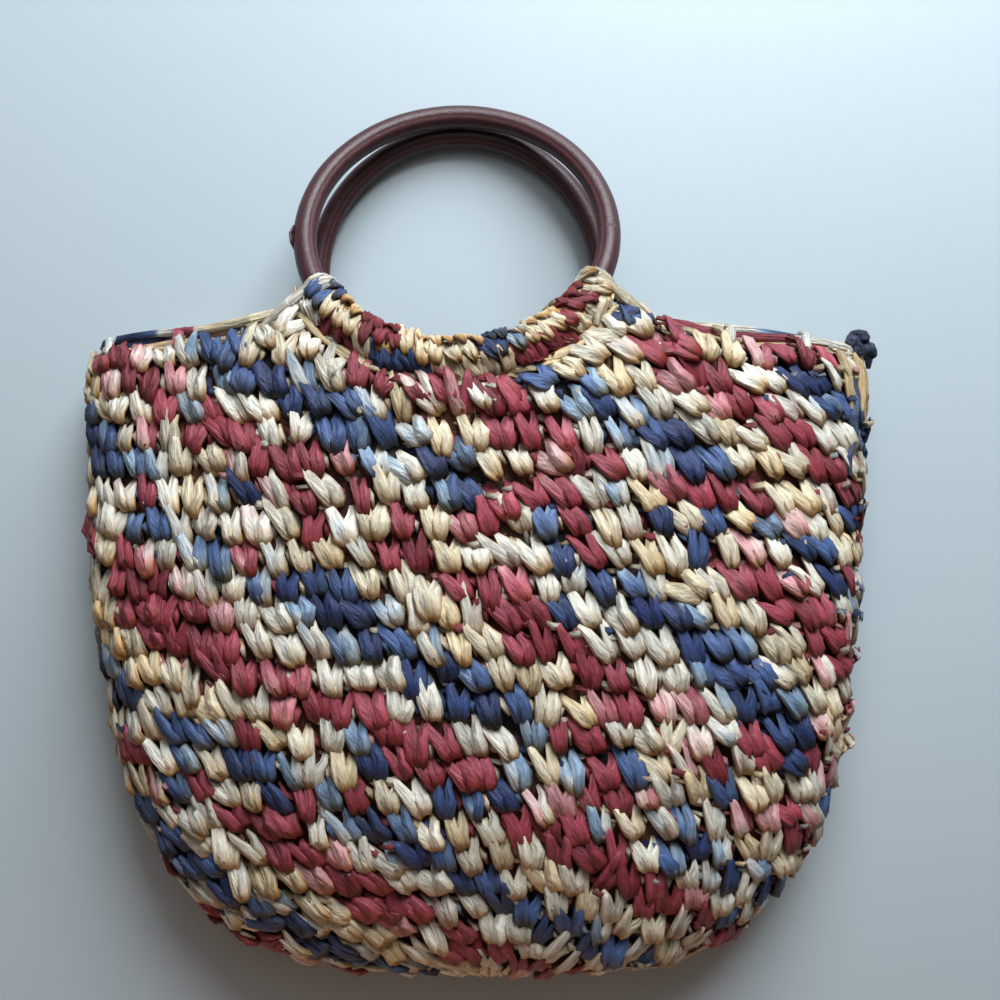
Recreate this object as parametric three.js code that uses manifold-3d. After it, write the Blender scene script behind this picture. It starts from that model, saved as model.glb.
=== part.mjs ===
// A crocheted straw tote bag that lies on its back on a table, with two round wrapped handles.
// Millimetres. X runs across the bag, Y from its base to the handles, Z up from the table.
// While the shapes are worked out, x = 0 is the bag's centre line and y = 0 is its lowest edge.
// The last lines move everything so that the origin is at the middle of the footprint, at table height.
import * as THREE from "three";
import { mergeVertices } from "three/addons/utils/BufferGeometryUtils.js";
import Module from "manifold-3d";

const wasm = await Module();
wasm.setup();

// ---- driving sizes ----
const gap = 0.3; // air between neighbouring pieces

// bag
const bag_half_width = 185; // widest, a little below the side corners
const bag_height = 296; // from the lowest edge to the side corners
const dome_height = 84; // how far the front panel stands off the table
const side_height = 26; // height of the widest line over the table
const base_height = 27; // height of the lowest edge over the table, where the base curls under
const wall = 7; // thickness of the crochet
const rim_round = 1.8; // how far the rounded top edge bulges past its two corners
const flat_share = 0.8; // share of the half width over which the back panel lies flat
const mouth_fullness = 1.65; // how square the front panel's arch is at the mouth: 2 is an ellipse
const belly_fullness = 2.35; // and at the belly

// handles
const ring_outer = 150; // outside diameter of a handle
const ring_tube = 11; // thickness of the wrapped tube
const ring_offset = -7; // the handles sit this far to the left of the bag's centre line
const front_ring_tilt = 25.5; // degrees; the front handle slopes down from the rim to the back handle
const back_ring_past = 104.3; // the back handle's tube reaches this far past the side corners
const ring_overhang = 6.5; // the front handle rests this far past the back one
const ring_lift = 0.1; // air between the back handle and the table
const sag_gap = 0.8; // more air behind the flat back edge, whose corners are far apart

// casings
const casing_tube = 18.4; // outside thickness of the crocheted sleeve
const casing_bore_gap = 0.35; // air between the sleeve and the handle in it
const front_arc = { from: 204, to: 341 }; // degrees round the ring, 270 is its lowest point
const back_arc = { from: 206, to: 334 };

// edging, knot and wrapping end
const edging_height = 6;
const edging_lip = 0.7; // the edging is this much thicker than the wall on each side
const edging_end_share = 0.55; // its ends narrow to this share
const edging_start_share = 0.97; // it starts at this share of the rim's reach from the handle's centre
const knot_strand = 3.6; // thickness of the yarn in the knot
const knot_loop = 3.4; // radius of each of its loops
const knot_out = 5.2; // how far right of the corner of the bag its middle is
const knot_up = 9.1; // and how far above it
const tab_length = 12;
const tab_width = 6;
const tab_thickness = 1.7;
const tab_angle = 183; // degrees round the front ring

// ---- tables ----
// Outline of the bag from the front: height over the lowest edge, half width, and how far the
// middle leans to the right, all as shares of bag_height or bag_half_width.
const outline = [
  { height: 0.0, half: 0.27, lean: 0.045 },
  { height: 0.004, half: 0.375, lean: 0.045 },
  { height: 0.021, half: 0.5, lean: 0.04 },
  { height: 0.045, half: 0.605, lean: 0.035 },
  { height: 0.077, half: 0.68, lean: 0.03 },
  { height: 0.109, half: 0.73, lean: 0.026 },
  { height: 0.141, half: 0.772, lean: 0.026 },
  { height: 0.205, half: 0.846, lean: 0.024 },
  { height: 0.27, half: 0.885, lean: 0.022 },
  { height: 0.334, half: 0.919, lean: 0.02 },
  { height: 0.463, half: 0.953, lean: 0.014 },
  { height: 0.589, half: 0.977, lean: 0.008 },
  { height: 0.7, half: 0.99, lean: 0.006 },
  { height: 0.8, half: 1.0, lean: 0.008 },
  { height: 0.9, half: 1.0, lean: 0.006 },
  { height: 0.96, half: 1.0, lean: 0.003 },
  { height: 0.99, half: 0.988, lean: 0.003 },
  { height: 1.02, half: 0.97, lean: 0.0 },
  { height: 1.1, half: 0.95, lean: 0.0 },
];
// Side view: the top of the front panel as a share of dome_height, the underside as a share of
// base_height, and the widest line as a share of side_height.
const side_view = [
  { height: 0.0, top: 0.4, under: 0.76, widest: 1.04 },
  { height: 0.008, top: 0.5, under: 0.47, widest: 1.05 },
  { height: 0.025, top: 0.585, under: 0.24, widest: 1.02 },
  { height: 0.05, top: 0.665, under: 0.07, widest: 1.0 },
  { height: 0.09, top: 0.76, under: 0.0, widest: 0.96 },
  { height: 0.15, top: 0.85, under: 0.0, widest: 0.92 },
  { height: 0.24, top: 0.925, under: 0.0, widest: 0.9 },
  { height: 0.36, top: 0.97, under: 0.0, widest: 0.9 },
  { height: 0.5, top: 0.99, under: 0.0, widest: 0.92 },
  { height: 0.7, top: 0.985, under: 0.0, widest: 0.96 },
  { height: 0.85, top: 0.99, under: 0.0, widest: 1.0 },
  { height: 0.92, top: 0.985, under: 0.0, widest: 1.0 },
  { height: 1.0, top: 0.9, under: 0.0, widest: 1.0 },
  { height: 1.1, top: 0.78, under: 0.0, widest: 1.0 },
];
// Top edge away from the casings: distance from the centre line and height, as shares of
// bag_half_width and bag_height. The front falls away from each casing, the back stays higher.
const front_edge = [
  { side: 0.36, height: 1.065 },
  { side: 0.42, height: 1.05 },
  { side: 0.47, height: 1.027 },
  { side: 0.55, height: 1.014 },
  { side: 0.7, height: 1.006 },
  { side: 0.88, height: 1.002 },
  { side: 0.97, height: 0.996 },
  { side: 1.0, height: 0.985 },
];
const back_edge = [
  { side: 0.36, height: 1.045 },
  { side: 0.47, height: 1.035 },
  { side: 0.6, height: 1.03 },
  { side: 0.8, height: 1.022 },
  { side: 0.93, height: 1.005 },
  { side: 1.0, height: 0.985 },
];
// Shallow hollows and swellings of the front panel: place and spread as shares of bag_half_width
// across and bag_height along, and how far the surface drops in mm.
const dents = [
  { across: 0.0, along: 0.8, wide: 0.3, tall: 0.09, drop: 3.2 },
  { across: -0.52, along: 0.9, wide: 0.16, tall: 0.1, drop: 2.6 },
  { across: 0.47, along: 0.9, wide: 0.16, tall: 0.1, drop: 2.6 },
  { across: -0.3, along: 0.5, wide: 0.22, tall: 0.1, drop: 2.4 },
  { across: 0.36, along: 0.42, wide: 0.2, tall: 0.13, drop: 2.2 },
  { across: -0.62, along: 0.3, wide: 0.15, tall: 0.1, drop: 3.0 },
  { across: 0.62, along: 0.66, wide: 0.14, tall: 0.12, drop: 2.4 },
  { across: 0.05, along: 0.3, wide: 0.25, tall: 0.08, drop: -2.0 },
  { across: 0.06, along: 0.14, wide: 0.3, tall: 0.05, drop: 2.0 },
];
// Shares of the way from the lowest edge to the rim at which the shell has a row of corners.
const rows = [0, 0.008, 0.022, 0.045, 0.075, 0.115, 0.17, 0.24, 0.32, 0.41, 0.5, 0.59, 0.68, 0.77, 0.85, 0.91, 0.96, 1];
const front_columns = 36;
const back_columns = 28;
const tube_sides = 12; // corners round a handle's tube and round a casing
const ring_steps = 48; // and round a whole handle

// ---- small helpers ----
const rad = (degrees) => (degrees * Math.PI) / 180;
const mix = (a, b, t) => a + (b - a) * t;
const smooth = (t) => {
  const c = Math.min(1, Math.max(0, t));
  return c * c * (3 - 2 * c);
};

// A smooth curve through one column of a table, monotone between its rows.
function reader(table, key, column) {
  const x = table.map((row) => row[key]);
  const y = table.map((row) => row[column]);
  const step = x.slice(1).map((v, i) => (y[i + 1] - y[i]) / (v - x[i]));
  const slope = x.map((_, i) => {
    if (i === 0) return step[0];
    if (i === x.length - 1) return step[i - 1];
    if (step[i - 1] * step[i] <= 0) return 0;
    return (2 * step[i - 1] * step[i]) / (step[i - 1] + step[i]);
  });
  return (at) => {
    if (at <= x[0]) return y[0];
    if (at >= x[x.length - 1]) return y[x.length - 1];
    let i = 0;
    while (x[i + 1] < at) i += 1;
    const width = x[i + 1] - x[i];
    const t = (at - x[i]) / width;
    const t2 = t * t;
    const t3 = t2 * t;
    return (
      (2 * t3 - 3 * t2 + 1) * y[i] +
      (t3 - 2 * t2 + t) * width * slope[i] +
      (3 * t2 - 2 * t3) * y[i + 1] +
      (t3 - t2) * width * slope[i + 1]
    );
  };
}
const half_at = reader(outline, "height", "half");
const lean_at = reader(outline, "height", "lean");
const top_at = reader(side_view, "height", "top");
const under_at = reader(side_view, "height", "under");
const widest_at = reader(side_view, "height", "widest");
const front_edge_at = reader(front_edge, "side", "height");
const back_edge_at = reader(back_edge, "side", "height");

// ---- where the handles lie ----
const ring_radius = (ring_outer - ring_tube) / 2; // centre line of the tube
const tube_radius = ring_tube / 2;
const casing_radius = casing_tube / 2;
// The back handle touches the table at its far end and at the two ends of its casing.
const back_ring_top = bag_height + back_ring_past;
const back_ring = { x: ring_offset, y: back_ring_top - ring_radius, top_z: tube_radius + ring_lift };
const casing_end_share = Math.min(-Math.sin(rad(back_arc.from)), -Math.sin(rad(back_arc.to)));
back_ring.tilt = Math.asin((casing_radius - tube_radius) / (ring_radius * (1 + casing_end_share)));
back_ring.z = back_ring.top_z + ring_radius * Math.sin(back_ring.tilt);
const front_ring = { x: ring_offset, tilt: rad(front_ring_tilt) };
front_ring.y = back_ring_top + ring_overhang - ring_radius * Math.cos(front_ring.tilt);
front_ring.z =
  back_ring.top_z +
  Math.sqrt((ring_tube + gap) ** 2 - ring_overhang ** 2) +
  ring_radius * Math.sin(front_ring.tilt);

// A point on a circle about a handle's centre, in its own sloping plane, lifted off that plane.
function ring_point(ring, radius, angle, lift = 0) {
  const across = Math.cos(angle) * radius;
  const along = Math.sin(angle) * radius;
  return new THREE.Vector3(
    ring.x + across,
    ring.y + along * Math.cos(ring.tilt) + lift * Math.sin(ring.tilt),
    ring.z - along * Math.sin(ring.tilt) + lift * Math.cos(ring.tilt),
  );
}

// ---- the bag's surface ----
// One half section, from the right side over the panel to the left side, at equal steps of length.
function arch(count, point) {
  const fine = 600;
  const path = Array.from({ length: fine + 1 }, (_, i) => point(i / fine));
  const run = [0];
  for (let i = 1; i <= fine; i += 1) {
    run.push(run[i - 1] + Math.hypot(path[i][0] - path[i - 1][0], path[i][1] - path[i - 1][1]));
  }
  const out = [];
  let j = 0;
  for (let k = 0; k <= count; k += 1) {
    const want = (run[fine] * k) / count;
    while (j < fine - 1 && run[j + 1] < want) j += 1;
    const t = (want - run[j]) / (run[j + 1] - run[j] || 1);
    out.push([mix(path[j][0], path[j + 1][0], t), mix(path[j][1], path[j + 1][1], t)]);
  }
  return out;
}
// The front panel's arch: a superellipse of the given fullness, x from 1 to -1, height from 0 to 1 to 0.
const arch_shape = (fullness) => (t) => {
  const turn = Math.PI * t;
  const c = Math.cos(turn);
  const s = Math.sin(turn);
  return [Math.sign(c) * Math.abs(c) ** (2 / fullness), Math.abs(s) ** (2 / fullness)];
};
const front_aspect = (dome_height - side_height) / bag_half_width;
const back_aspect = side_height / bag_half_width;
function front_unit(fullness) {
  const shape = arch_shape(fullness);
  return arch(front_columns, (t) => {
    const p = shape(t);
    return [p[0], p[1] * front_aspect];
  }).map((p) => [p[0], p[1] / front_aspect]);
}
// The back panel, from the left side to the right: a quarter turn down, flat, and a quarter turn up.
const back_unit = arch(back_columns, (t) => {
  const x = -Math.cos(Math.PI * t);
  const over = Math.max(0, (Math.abs(x) - flat_share) / (1 - flat_share));
  return [x, (1 - Math.sqrt(Math.max(0, 1 - over * over))) * back_aspect];
}).map((p) => [p[0], p[1] / back_aspect]);
const fullness_steps = 24;
const front_units = Array.from({ length: fullness_steps + 1 }, (_, i) =>
  front_unit(mix(mouth_fullness, belly_fullness, i / fullness_steps)),
);

function dent_drop(x, y) {
  return dents.reduce((sum, d) => {
    const u = (x / bag_half_width - d.across) / d.wide;
    const v = (y / bag_height - d.along) / d.tall;
    return sum + d.drop * Math.exp(-u * u - v * v);
  }, 0);
}

const columns = front_columns + back_columns;
const is_front = (column) => column <= front_columns;

// Unit section of a column at a height: x as a share of the half width, and its share of the rise.
function unit_at(column, y) {
  if (!is_front(column)) return back_unit[column - front_columns];
  const share = smooth((1.02 - y / bag_height) / 0.55) * fullness_steps;
  const i = Math.min(fullness_steps - 1, Math.floor(share));
  const a = front_units[i][column];
  const b = front_units[i + 1][column];
  return [mix(a[0], b[0], share - i), mix(a[1], b[1], share - i)];
}

// The outside of the bag on a column at a height, before the rim is drawn to the casing.
function plain_point(column, y) {
  const share = y / bag_height;
  const unit = unit_at(column, y);
  const x = (unit[0] * half_at(share) + lean_at(share)) * bag_half_width;
  const widest = widest_at(share) * side_height;
  if (!is_front(column)) {
    const under = under_at(share) * base_height;
    return new THREE.Vector3(x, y, mix(under, widest, unit[1]));
  }
  const top = top_at(share) * dome_height;
  const drop = dent_drop(x, y) * smooth(unit[1] * 1.3) * smooth(y / 40);
  return new THREE.Vector3(x, y, mix(widest, top, unit[1]) - drop);
}

// Where the top edge is on a column. Beside a casing it keeps to a circle about the handle.
const front_reach = ring_radius + casing_radius + gap;
const back_reach = ring_radius + Math.sqrt((casing_radius + gap) ** 2 - (back_ring.z - wall / 2) ** 2) + sag_gap;
function rim_place(column) {
  const front = is_front(column);
  const ring = front ? front_ring : back_ring;
  const reach = (front ? front_reach : back_reach) + rim_round;
  const arc = front ? front_arc : back_arc;
  const edge_at = front ? front_edge_at : back_edge_at;
  const plain = (x) => edge_at(Math.abs(x) / bag_half_width) * bag_height - edging_height;
  let y = bag_height;
  for (let turn = 0; turn < 30; turn += 1) {
    const x = plain_point(column, y).x;
    const off = (x - ring.x) / reach;
    const left = Math.cos(rad(arc.from));
    const right = Math.cos(rad(arc.to));
    if (off > left && off < right) {
      const low = ring.y - reach * Math.sqrt(1 - off * off) * Math.cos(ring.tilt);
      const end = Math.min(off - left, right - off) / 0.16;
      y = mix(y, mix(Math.min(low, plain(x) + 40), low, smooth(end)), 0.6);
    } else {
      y = mix(y, plain(x), 0.6);
    }
  }
  return y;
}
const rim_heights = Array.from({ length: columns }, (_, c) => rim_place(c));
const rim_height = (column) => rim_heights[((column % columns) + columns) % columns];

// How far the front panel is lifted at the rim so that its middle meets the front handle's plane.
const rim_lift = rim_heights.map((y, column) => {
  if (!is_front(column)) return 0;
  const p = plain_point(column, y);
  const near = 1 - smooth((Math.abs(p.x - front_ring.x) - front_reach * 0.9) / (front_reach * 0.55));
  const plane = front_ring.z - ((y - front_ring.y) / Math.cos(front_ring.tilt)) * Math.sin(front_ring.tilt);
  return (plane + wall / 2 - p.z) * near;
});
function body_point(column, share) {
  const c = ((column % columns) + columns) % columns;
  const y = share * rim_heights[c];
  const p = plain_point(c, y);
  p.z += rim_lift[c] * smooth((share - 0.62) / 0.38);
  return p;
}

// Outward direction of the bag's surface at a corner of the shell.
function body_normal(column, share) {
  const step = 0.004;
  const low = Math.max(0, share - step);
  const high = Math.min(1, share + step);
  const up = body_point(column, high).sub(body_point(column, low));
  const along = body_point(column + 1, share).sub(body_point(column - 1, share));
  return along.cross(up).normalize().negate();
}

// Closed mesh from rings of points, each the same length, with a fan at each end.
function loft(rings, first_centre, last_centre) {
  const count = rings[0].length;
  const points = rings.flat();
  const faces = [];
  for (let r = 0; r + 1 < rings.length; r += 1) {
    for (let c = 0; c < count; c += 1) {
      const a = r * count + c;
      const b = r * count + ((c + 1) % count);
      faces.push([a, b, b + count], [a, b + count, a + count]);
    }
  }
  const last = (rings.length - 1) * count;
  points.push(first_centre, last_centre);
  for (let c = 0; c < count; c += 1) {
    const n = (c + 1) % count;
    faces.push([n, c, points.length - 2], [last + c, last + n, points.length - 1]);
  }
  return solid(points, faces);
}
function solid(points, faces) {
  const g = new THREE.BufferGeometry();
  g.setAttribute("position", new THREE.Float32BufferAttribute(points.flatMap((p) => [p.x, p.y, p.z]), 3));
  let volume = 0;
  for (const [a, b, c] of faces) {
    volume += points[a].dot(points[b].clone().cross(points[c]));
  }
  g.setIndex((volume < 0 ? faces.map(([a, b, c]) => [a, c, b]) : faces).flat());
  return g;
}
function centre_of(ring) {
  return ring.reduce((sum, p) => sum.add(p), new THREE.Vector3()).divideScalar(ring.length);
}

// The bag: outer wall from the base up, over the rounded rim, and down the inner wall.
function bag_body() {
  const every = Array.from({ length: columns }, (_, c) => c);
  const outer = rows.map((share) => every.map((c) => body_point(c, share)));
  const inner = rows.map((share) =>
    every.map((c) => {
      const p = body_point(c, share).addScaledVector(body_normal(c, share), -wall);
      if (share === 0) p.y = wall;
      return p;
    }),
  );
  inner[0].forEach((p) => (p.y = Math.max(p.y, wall)));
  const top = rows.length - 1;
  const crown = every.map((c) => {
    const up = body_point(c, 1).sub(body_point(c, 0.97)).normalize();
    return outer[top][c].clone().add(inner[top][c]).multiplyScalar(0.5).addScaledVector(up, rim_round);
  });
  const rings = [...outer, crown, ...inner.reverse()];
  return loft(rings, centre_of(outer[0]), centre_of(rings[rings.length - 1]));
}

// The edging: an oval cord along the crown of the rim, over a run of columns.
function rim_edging(from, to) {
  const sides = 10;
  const stations = [];
  for (let c = from; c <= to; c += 1) {
    const outer = body_point(c, 1);
    const normal = body_normal(c, 1);
    const middle = outer.clone().addScaledVector(normal, -wall / 2);
    const up = outer.clone().sub(body_point(c, 0.97)).normalize();
    const end = Math.min(c - from, to - c) / 2;
    const scale = mix(edging_end_share, 1, smooth(end));
    const rise = rim_round + gap + edging_height / 2;
    const centre = middle.addScaledVector(up, rise);
    centre.z = Math.max(centre.z, wall / 2 + edging_lip); // it lies on the table, not in it
    stations.push(
      Array.from({ length: sides }, (_, k) => {
        const turn = (2 * Math.PI * k) / sides;
        return centre
          .clone()
          .addScaledVector(normal, Math.cos(turn) * (wall / 2 + edging_lip) * scale)
          .addScaledVector(up, Math.sin(turn) * (edging_height / 2) * scale);
      }),
    );
  }
  return loft(stations, centre_of(stations[0]), centre_of(stations[stations.length - 1]));
}

// ---- handles and casings ----
function handle_ring(ring) {
  const g = new THREE.TorusGeometry(ring_radius, tube_radius, tube_sides, ring_steps);
  return g.rotateX(-ring.tilt).translate(ring.x, ring.y, ring.z);
}
// A circle in a handle's plane as a path, from one angle to another.
class Arc extends THREE.Curve {
  constructor(ring, radius, from, to) {
    super();
    Object.assign(this, { ring, radius, from, to });
  }
  getPoint(t) {
    return ring_point(this.ring, this.radius, mix(this.from, this.to, t));
  }
}
function casing(ring, arc) {
  const flat_side = Math.cos(Math.PI / tube_sides); // how near the middle of a flat side comes
  const section = new THREE.Shape().absarc(0, 0, casing_radius, 0, 2 * Math.PI);
  section.holes.push(new THREE.Path().absarc(0, 0, (tube_radius + casing_bore_gap) / flat_side, 0, 2 * Math.PI, true));
  return new THREE.ExtrudeGeometry(section, {
    steps: Math.round(((arc.to - arc.from) / 360) * ring_steps * 1.2),
    curveSegments: tube_sides / 2,
    bevelEnabled: false,
    extrudePath: new Arc(ring, ring_radius, rad(arc.from), rad(arc.to)),
  });
}

// ---- the knot and the wrapping end ----
function to_manifold(geometry) {
  const g = geometry.clone();
  g.deleteAttribute("normal");
  g.deleteAttribute("uv");
  const merged = mergeVertices(g, 1e-4);
  return new wasm.Manifold(
    new wasm.Mesh({
      numProp: 3,
      vertProperties: new Float32Array(merged.attributes.position.array),
      triVerts: new Uint32Array(merged.index.array),
    }),
  );
}
function from_manifold(shape) {
  const m = shape.getMesh();
  const g = new THREE.BufferGeometry();
  const xyz = [];
  for (let i = 0; i < m.numVert; i += 1) xyz.push(...m.vertProperties.subarray(i * m.numProp, i * m.numProp + 3));
  g.setAttribute("position", new THREE.Float32BufferAttribute(xyz, 3));
  g.setIndex(Array.from(m.triVerts));
  return g;
}
// Three crossed loops of yarn drawn tight, with two short ends.
function corner_knot() {
  const strand = knot_strand / 2;
  const loops = [
    { turn_x: 20, turn_y: 65, shift: -2.6 },
    { turn_x: -35, turn_y: 100, shift: 0.4 },
    { turn_x: 75, turn_y: 30, shift: 2.4 },
  ];
  const ends = [
    { length: 9, turn_z: 28, shift: 4.5 },
    { length: 8, turn_z: 200, shift: -4.0 },
  ];
  const parts = [
    ...loops.map((l) =>
      new THREE.TorusGeometry(knot_loop, strand, 6, 12)
        .rotateX(rad(l.turn_x))
        .rotateY(rad(l.turn_y))
        .translate(0, l.shift, 0),
    ),
    ...ends.map((e) =>
      new THREE.CapsuleGeometry(strand * 0.8, e.length, 2, 6).rotateZ(rad(e.turn_z)).translate(0, e.shift, 0),
    ),
  ];
  const shape = parts.map(to_manifold).reduce((a, b) => a.add(b));
  const corner = body_point(0, 0.985);
  return from_manifold(shape).translate(
    corner.x + knot_out,
    corner.y + knot_up,
    corner.z,
  );
}
// A thin strip that hugs the outer side of the front handle.
function ring_wrap_tab() {
  const inside = tube_radius + gap;
  const spread = tab_width / (2 * inside);
  const section = new THREE.Shape();
  section.absarc(0, 0, inside, -spread, spread);
  section.absarc(0, 0, inside + tab_thickness, spread, -spread, true);
  const turn = tab_length / 2 / (ring_radius + tube_radius);
  const g = new THREE.ExtrudeGeometry(section, {
    steps: 6,
    curveSegments: 6,
    bevelEnabled: false,
    extrudePath: new Arc(front_ring, ring_radius, rad(tab_angle) - turn, rad(tab_angle) + turn),
  });
  return g;
}

// ---- colours ----
const finish = (colour, roughness) => new THREE.MeshStandardMaterial({ color: colour, roughness, metalness: 0 });
const straw = 0xe3d9bd;
const navy = 0x3f5489;
const rose = 0xb05468;
const brown = 0x553434;

// Columns where each edging starts and ends: just clear of the casings.
const first_clear = (from, to, ring, reach) => {
  const step = Math.sign(to - from);
  for (let c = from; c !== to; c += step) {
    const p = body_point(c, 1);
    if (Math.abs(p.x - ring.x) > reach) return c;
  }
  return to;
};
const front_mid = front_columns / 2;
const back_mid = front_columns + back_columns / 2;
const left_from = first_clear(front_mid, front_columns, front_ring, front_reach * edging_start_share);
const left_to = first_clear(back_mid, front_columns, back_ring, back_reach * edging_start_share);
const right_from = first_clear(back_mid, columns, back_ring, back_reach * edging_start_share);
const right_to = columns + first_clear(front_mid, 0, front_ring, front_reach * edging_start_share);

const pieces = [
  ["bag_body", bag_body(), finish(straw, 0.9)],
  ["rim_edging_left", rim_edging(left_from, left_to), finish(rose, 0.9)],
  ["rim_edging_right", rim_edging(right_from, right_to), finish(straw, 0.9)],
  ["handle_ring_front", handle_ring(front_ring), finish(brown, 0.5)],
  ["handle_ring_back", handle_ring(back_ring), finish(brown, 0.5)],
  ["casing_front", casing(front_ring, front_arc), finish(navy, 0.9)],
  ["casing_back", casing(back_ring, back_arc), finish(rose, 0.9)],
  ["corner_knot", corner_knot(), finish(navy, 0.9)],
  ["ring_wrap_tab", ring_wrap_tab(), finish(brown, 0.6)],
];

const whole = new THREE.Box3();
for (const [, geometry] of pieces) {
  geometry.computeBoundingBox();
  whole.union(geometry.boundingBox);
}
const middle = whole.getCenter(new THREE.Vector3());
const part = new THREE.Group();
part.name = "crocheted_tote_bag";
for (const [name, geometry, material] of pieces) {
  geometry.translate(-middle.x, -middle.y, -whole.min.z);
  geometry.computeVertexNormals();
  const mesh = new THREE.Mesh(geometry, material);
  mesh.name = name;
  part.add(mesh);
}

export default part;
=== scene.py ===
# %% [markdown]
# A straw tote bag, crocheted from thick paper raffia. It lies on its back on a pale table and is seen
# from straight above. The yarn is dyed blue, cream and raspberry along its length, and in the rounds
# of stitches those colours pool into slanting bands. Two round handles wrapped in brown leatherette
# are held by crocheted sleeves at the middle of the mouth.
#
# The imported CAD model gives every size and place. This lesson dresses it: each stitch becomes a real
# little form made of ribbons, and the handles get their leather skin.

import math
import bmesh
import bpy
import numpy as np
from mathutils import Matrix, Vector, noise
from mathutils.bvhtree import BVHTree


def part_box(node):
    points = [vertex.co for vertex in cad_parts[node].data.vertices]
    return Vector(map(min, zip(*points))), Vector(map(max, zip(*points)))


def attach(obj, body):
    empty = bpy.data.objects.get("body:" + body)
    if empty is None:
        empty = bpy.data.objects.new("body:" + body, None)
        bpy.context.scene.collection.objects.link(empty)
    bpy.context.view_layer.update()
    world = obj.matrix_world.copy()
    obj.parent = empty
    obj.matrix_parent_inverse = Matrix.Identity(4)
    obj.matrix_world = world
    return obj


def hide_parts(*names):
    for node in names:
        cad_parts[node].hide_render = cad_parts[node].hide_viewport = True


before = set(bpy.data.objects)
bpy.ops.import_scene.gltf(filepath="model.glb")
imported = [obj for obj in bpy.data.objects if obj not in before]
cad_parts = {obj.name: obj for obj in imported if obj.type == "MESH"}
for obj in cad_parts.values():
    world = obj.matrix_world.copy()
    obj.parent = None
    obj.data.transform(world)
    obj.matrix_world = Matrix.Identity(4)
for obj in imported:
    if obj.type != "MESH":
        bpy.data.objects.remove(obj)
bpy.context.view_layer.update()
MM = 0.001

# %% [markdown]
# The photograph was taken with a phone held level over the table. Its lens sees about fifty degrees,
# and it hung a little over half a metre above the table, so the high front of the bag looks larger
# than its back. The same camera is set up here first, because every later step is judged through it.

# %% Camera, straight down
bag_low, bag_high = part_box("bag_body")
LENS = 38.6
SENSOR_WIDTH = 36
CAMERA_HEIGHT = 536 * MM
VIEW_RIGHT_OF_MIDDLE = 11.5 * MM
VIEW_OVER_BASE = 220.6 * MM
camera_data = bpy.data.cameras.new("camera")
camera_data.lens = LENS
camera_data.sensor_width = SENSOR_WIDTH
camera = bpy.data.objects.new("camera", camera_data)
bpy.context.scene.collection.objects.link(camera)
middle_x = (bag_low.x + bag_high.x) / 2
camera.location = (middle_x + VIEW_RIGHT_OF_MIDDLE, bag_low.y + VIEW_OVER_BASE, CAMERA_HEIGHT)
bpy.context.scene.camera = camera
print("camera at", [round(v, 3) for v in camera.location])

# %% [markdown]
# Light in the picture comes from a cool window beyond the handles, and the room's own warm light
# browns the shadows under the base. Large soft lamps give the same without hard shadows: a strong one
# for the window, a weak one for the sky above it, a very weak warm one on the near side and a faint
# warm glow all round. The Standard view keeps the dyed colours as they are mixed.

# %% Light and table
scene = bpy.context.scene
scene.view_settings.view_transform = "Standard"


def soft_lamp(name, place, aim, size, power, colour):
    lamp = bpy.data.lights.new(name, "AREA")
    lamp.shape = "DISK"
    lamp.size = size
    lamp.energy = power
    lamp.color = colour
    holder = bpy.data.objects.new(name, lamp)
    holder.location = place
    holder.rotation_mode = "QUATERNION"
    holder.rotation_quaternion = (Vector(aim) - Vector(place)).to_track_quat("-Z", "Y")
    scene.collection.objects.link(holder)
    return holder


soft_lamp("window", (0.25, 1.0, 0.69), (0, 0, 0.03), 0.85, 24.0, (0.9, 0.958, 1.0))
soft_lamp("sky", (0.0, 0.55, 0.75), (0, 0.1, 0), 0.7, 1.4, (0.9, 0.96, 1.0))
soft_lamp("room_lamp", (-0.1, -0.8, 0.25), (0, -0.1, 0.03), 0.5, 0.8, (1.0, 0.5, 0.24))
world = bpy.data.worlds.new("room")
world.use_nodes = True
glow = world.node_tree.nodes["Background"].inputs
glow["Color"].default_value = (1.0, 0.92, 0.84, 1)
glow["Strength"].default_value = 0.08
scene.world = world
print("lamps:", [(lamp.name, round(lamp.energy, 1)) for lamp in bpy.data.lights])

# %% [markdown]
# Materials and Geometry Nodes trees are both graphs of nodes. Two small helpers keep them readable.
# Amount wraps one socket, so that sums are written as sums, and Graph adds any other node: its
# settings first, and then the values or links of its sockets. Feed gives them to a node later on.


# %% Helpers for node graphs
class Amount:
    """A number that a graph works out at each spot."""

    def __init__(self, graph, socket):
        self.graph = graph
        self.socket = socket

    def maths(self, operation, *others, settings=None):
        values = {0: self}
        values.update({i + 1: other for i, other in enumerate(others)})
        node = self.graph.add("ShaderNodeMath", {"operation": operation, **(settings or {})}, values)
        return Amount(self.graph, node.outputs[0])

    def __add__(self, other):
        return self.maths("ADD", other)

    def __radd__(self, other):
        return self.maths("ADD", other)

    def __sub__(self, other):
        return self.maths("SUBTRACT", other)

    def __rsub__(self, other):
        return (self * -1) + other

    def __mul__(self, other):
        return self.maths("MULTIPLY", other)

    def __rmul__(self, other):
        return self.maths("MULTIPLY", other)

    def fraction(self):
        return self.maths("FRACT")

    def at_least(self, other):
        return self.maths("MAXIMUM", other)

    def clamped(self):
        return self.maths("ADD", 0.0, settings={"use_clamp": True})


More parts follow.
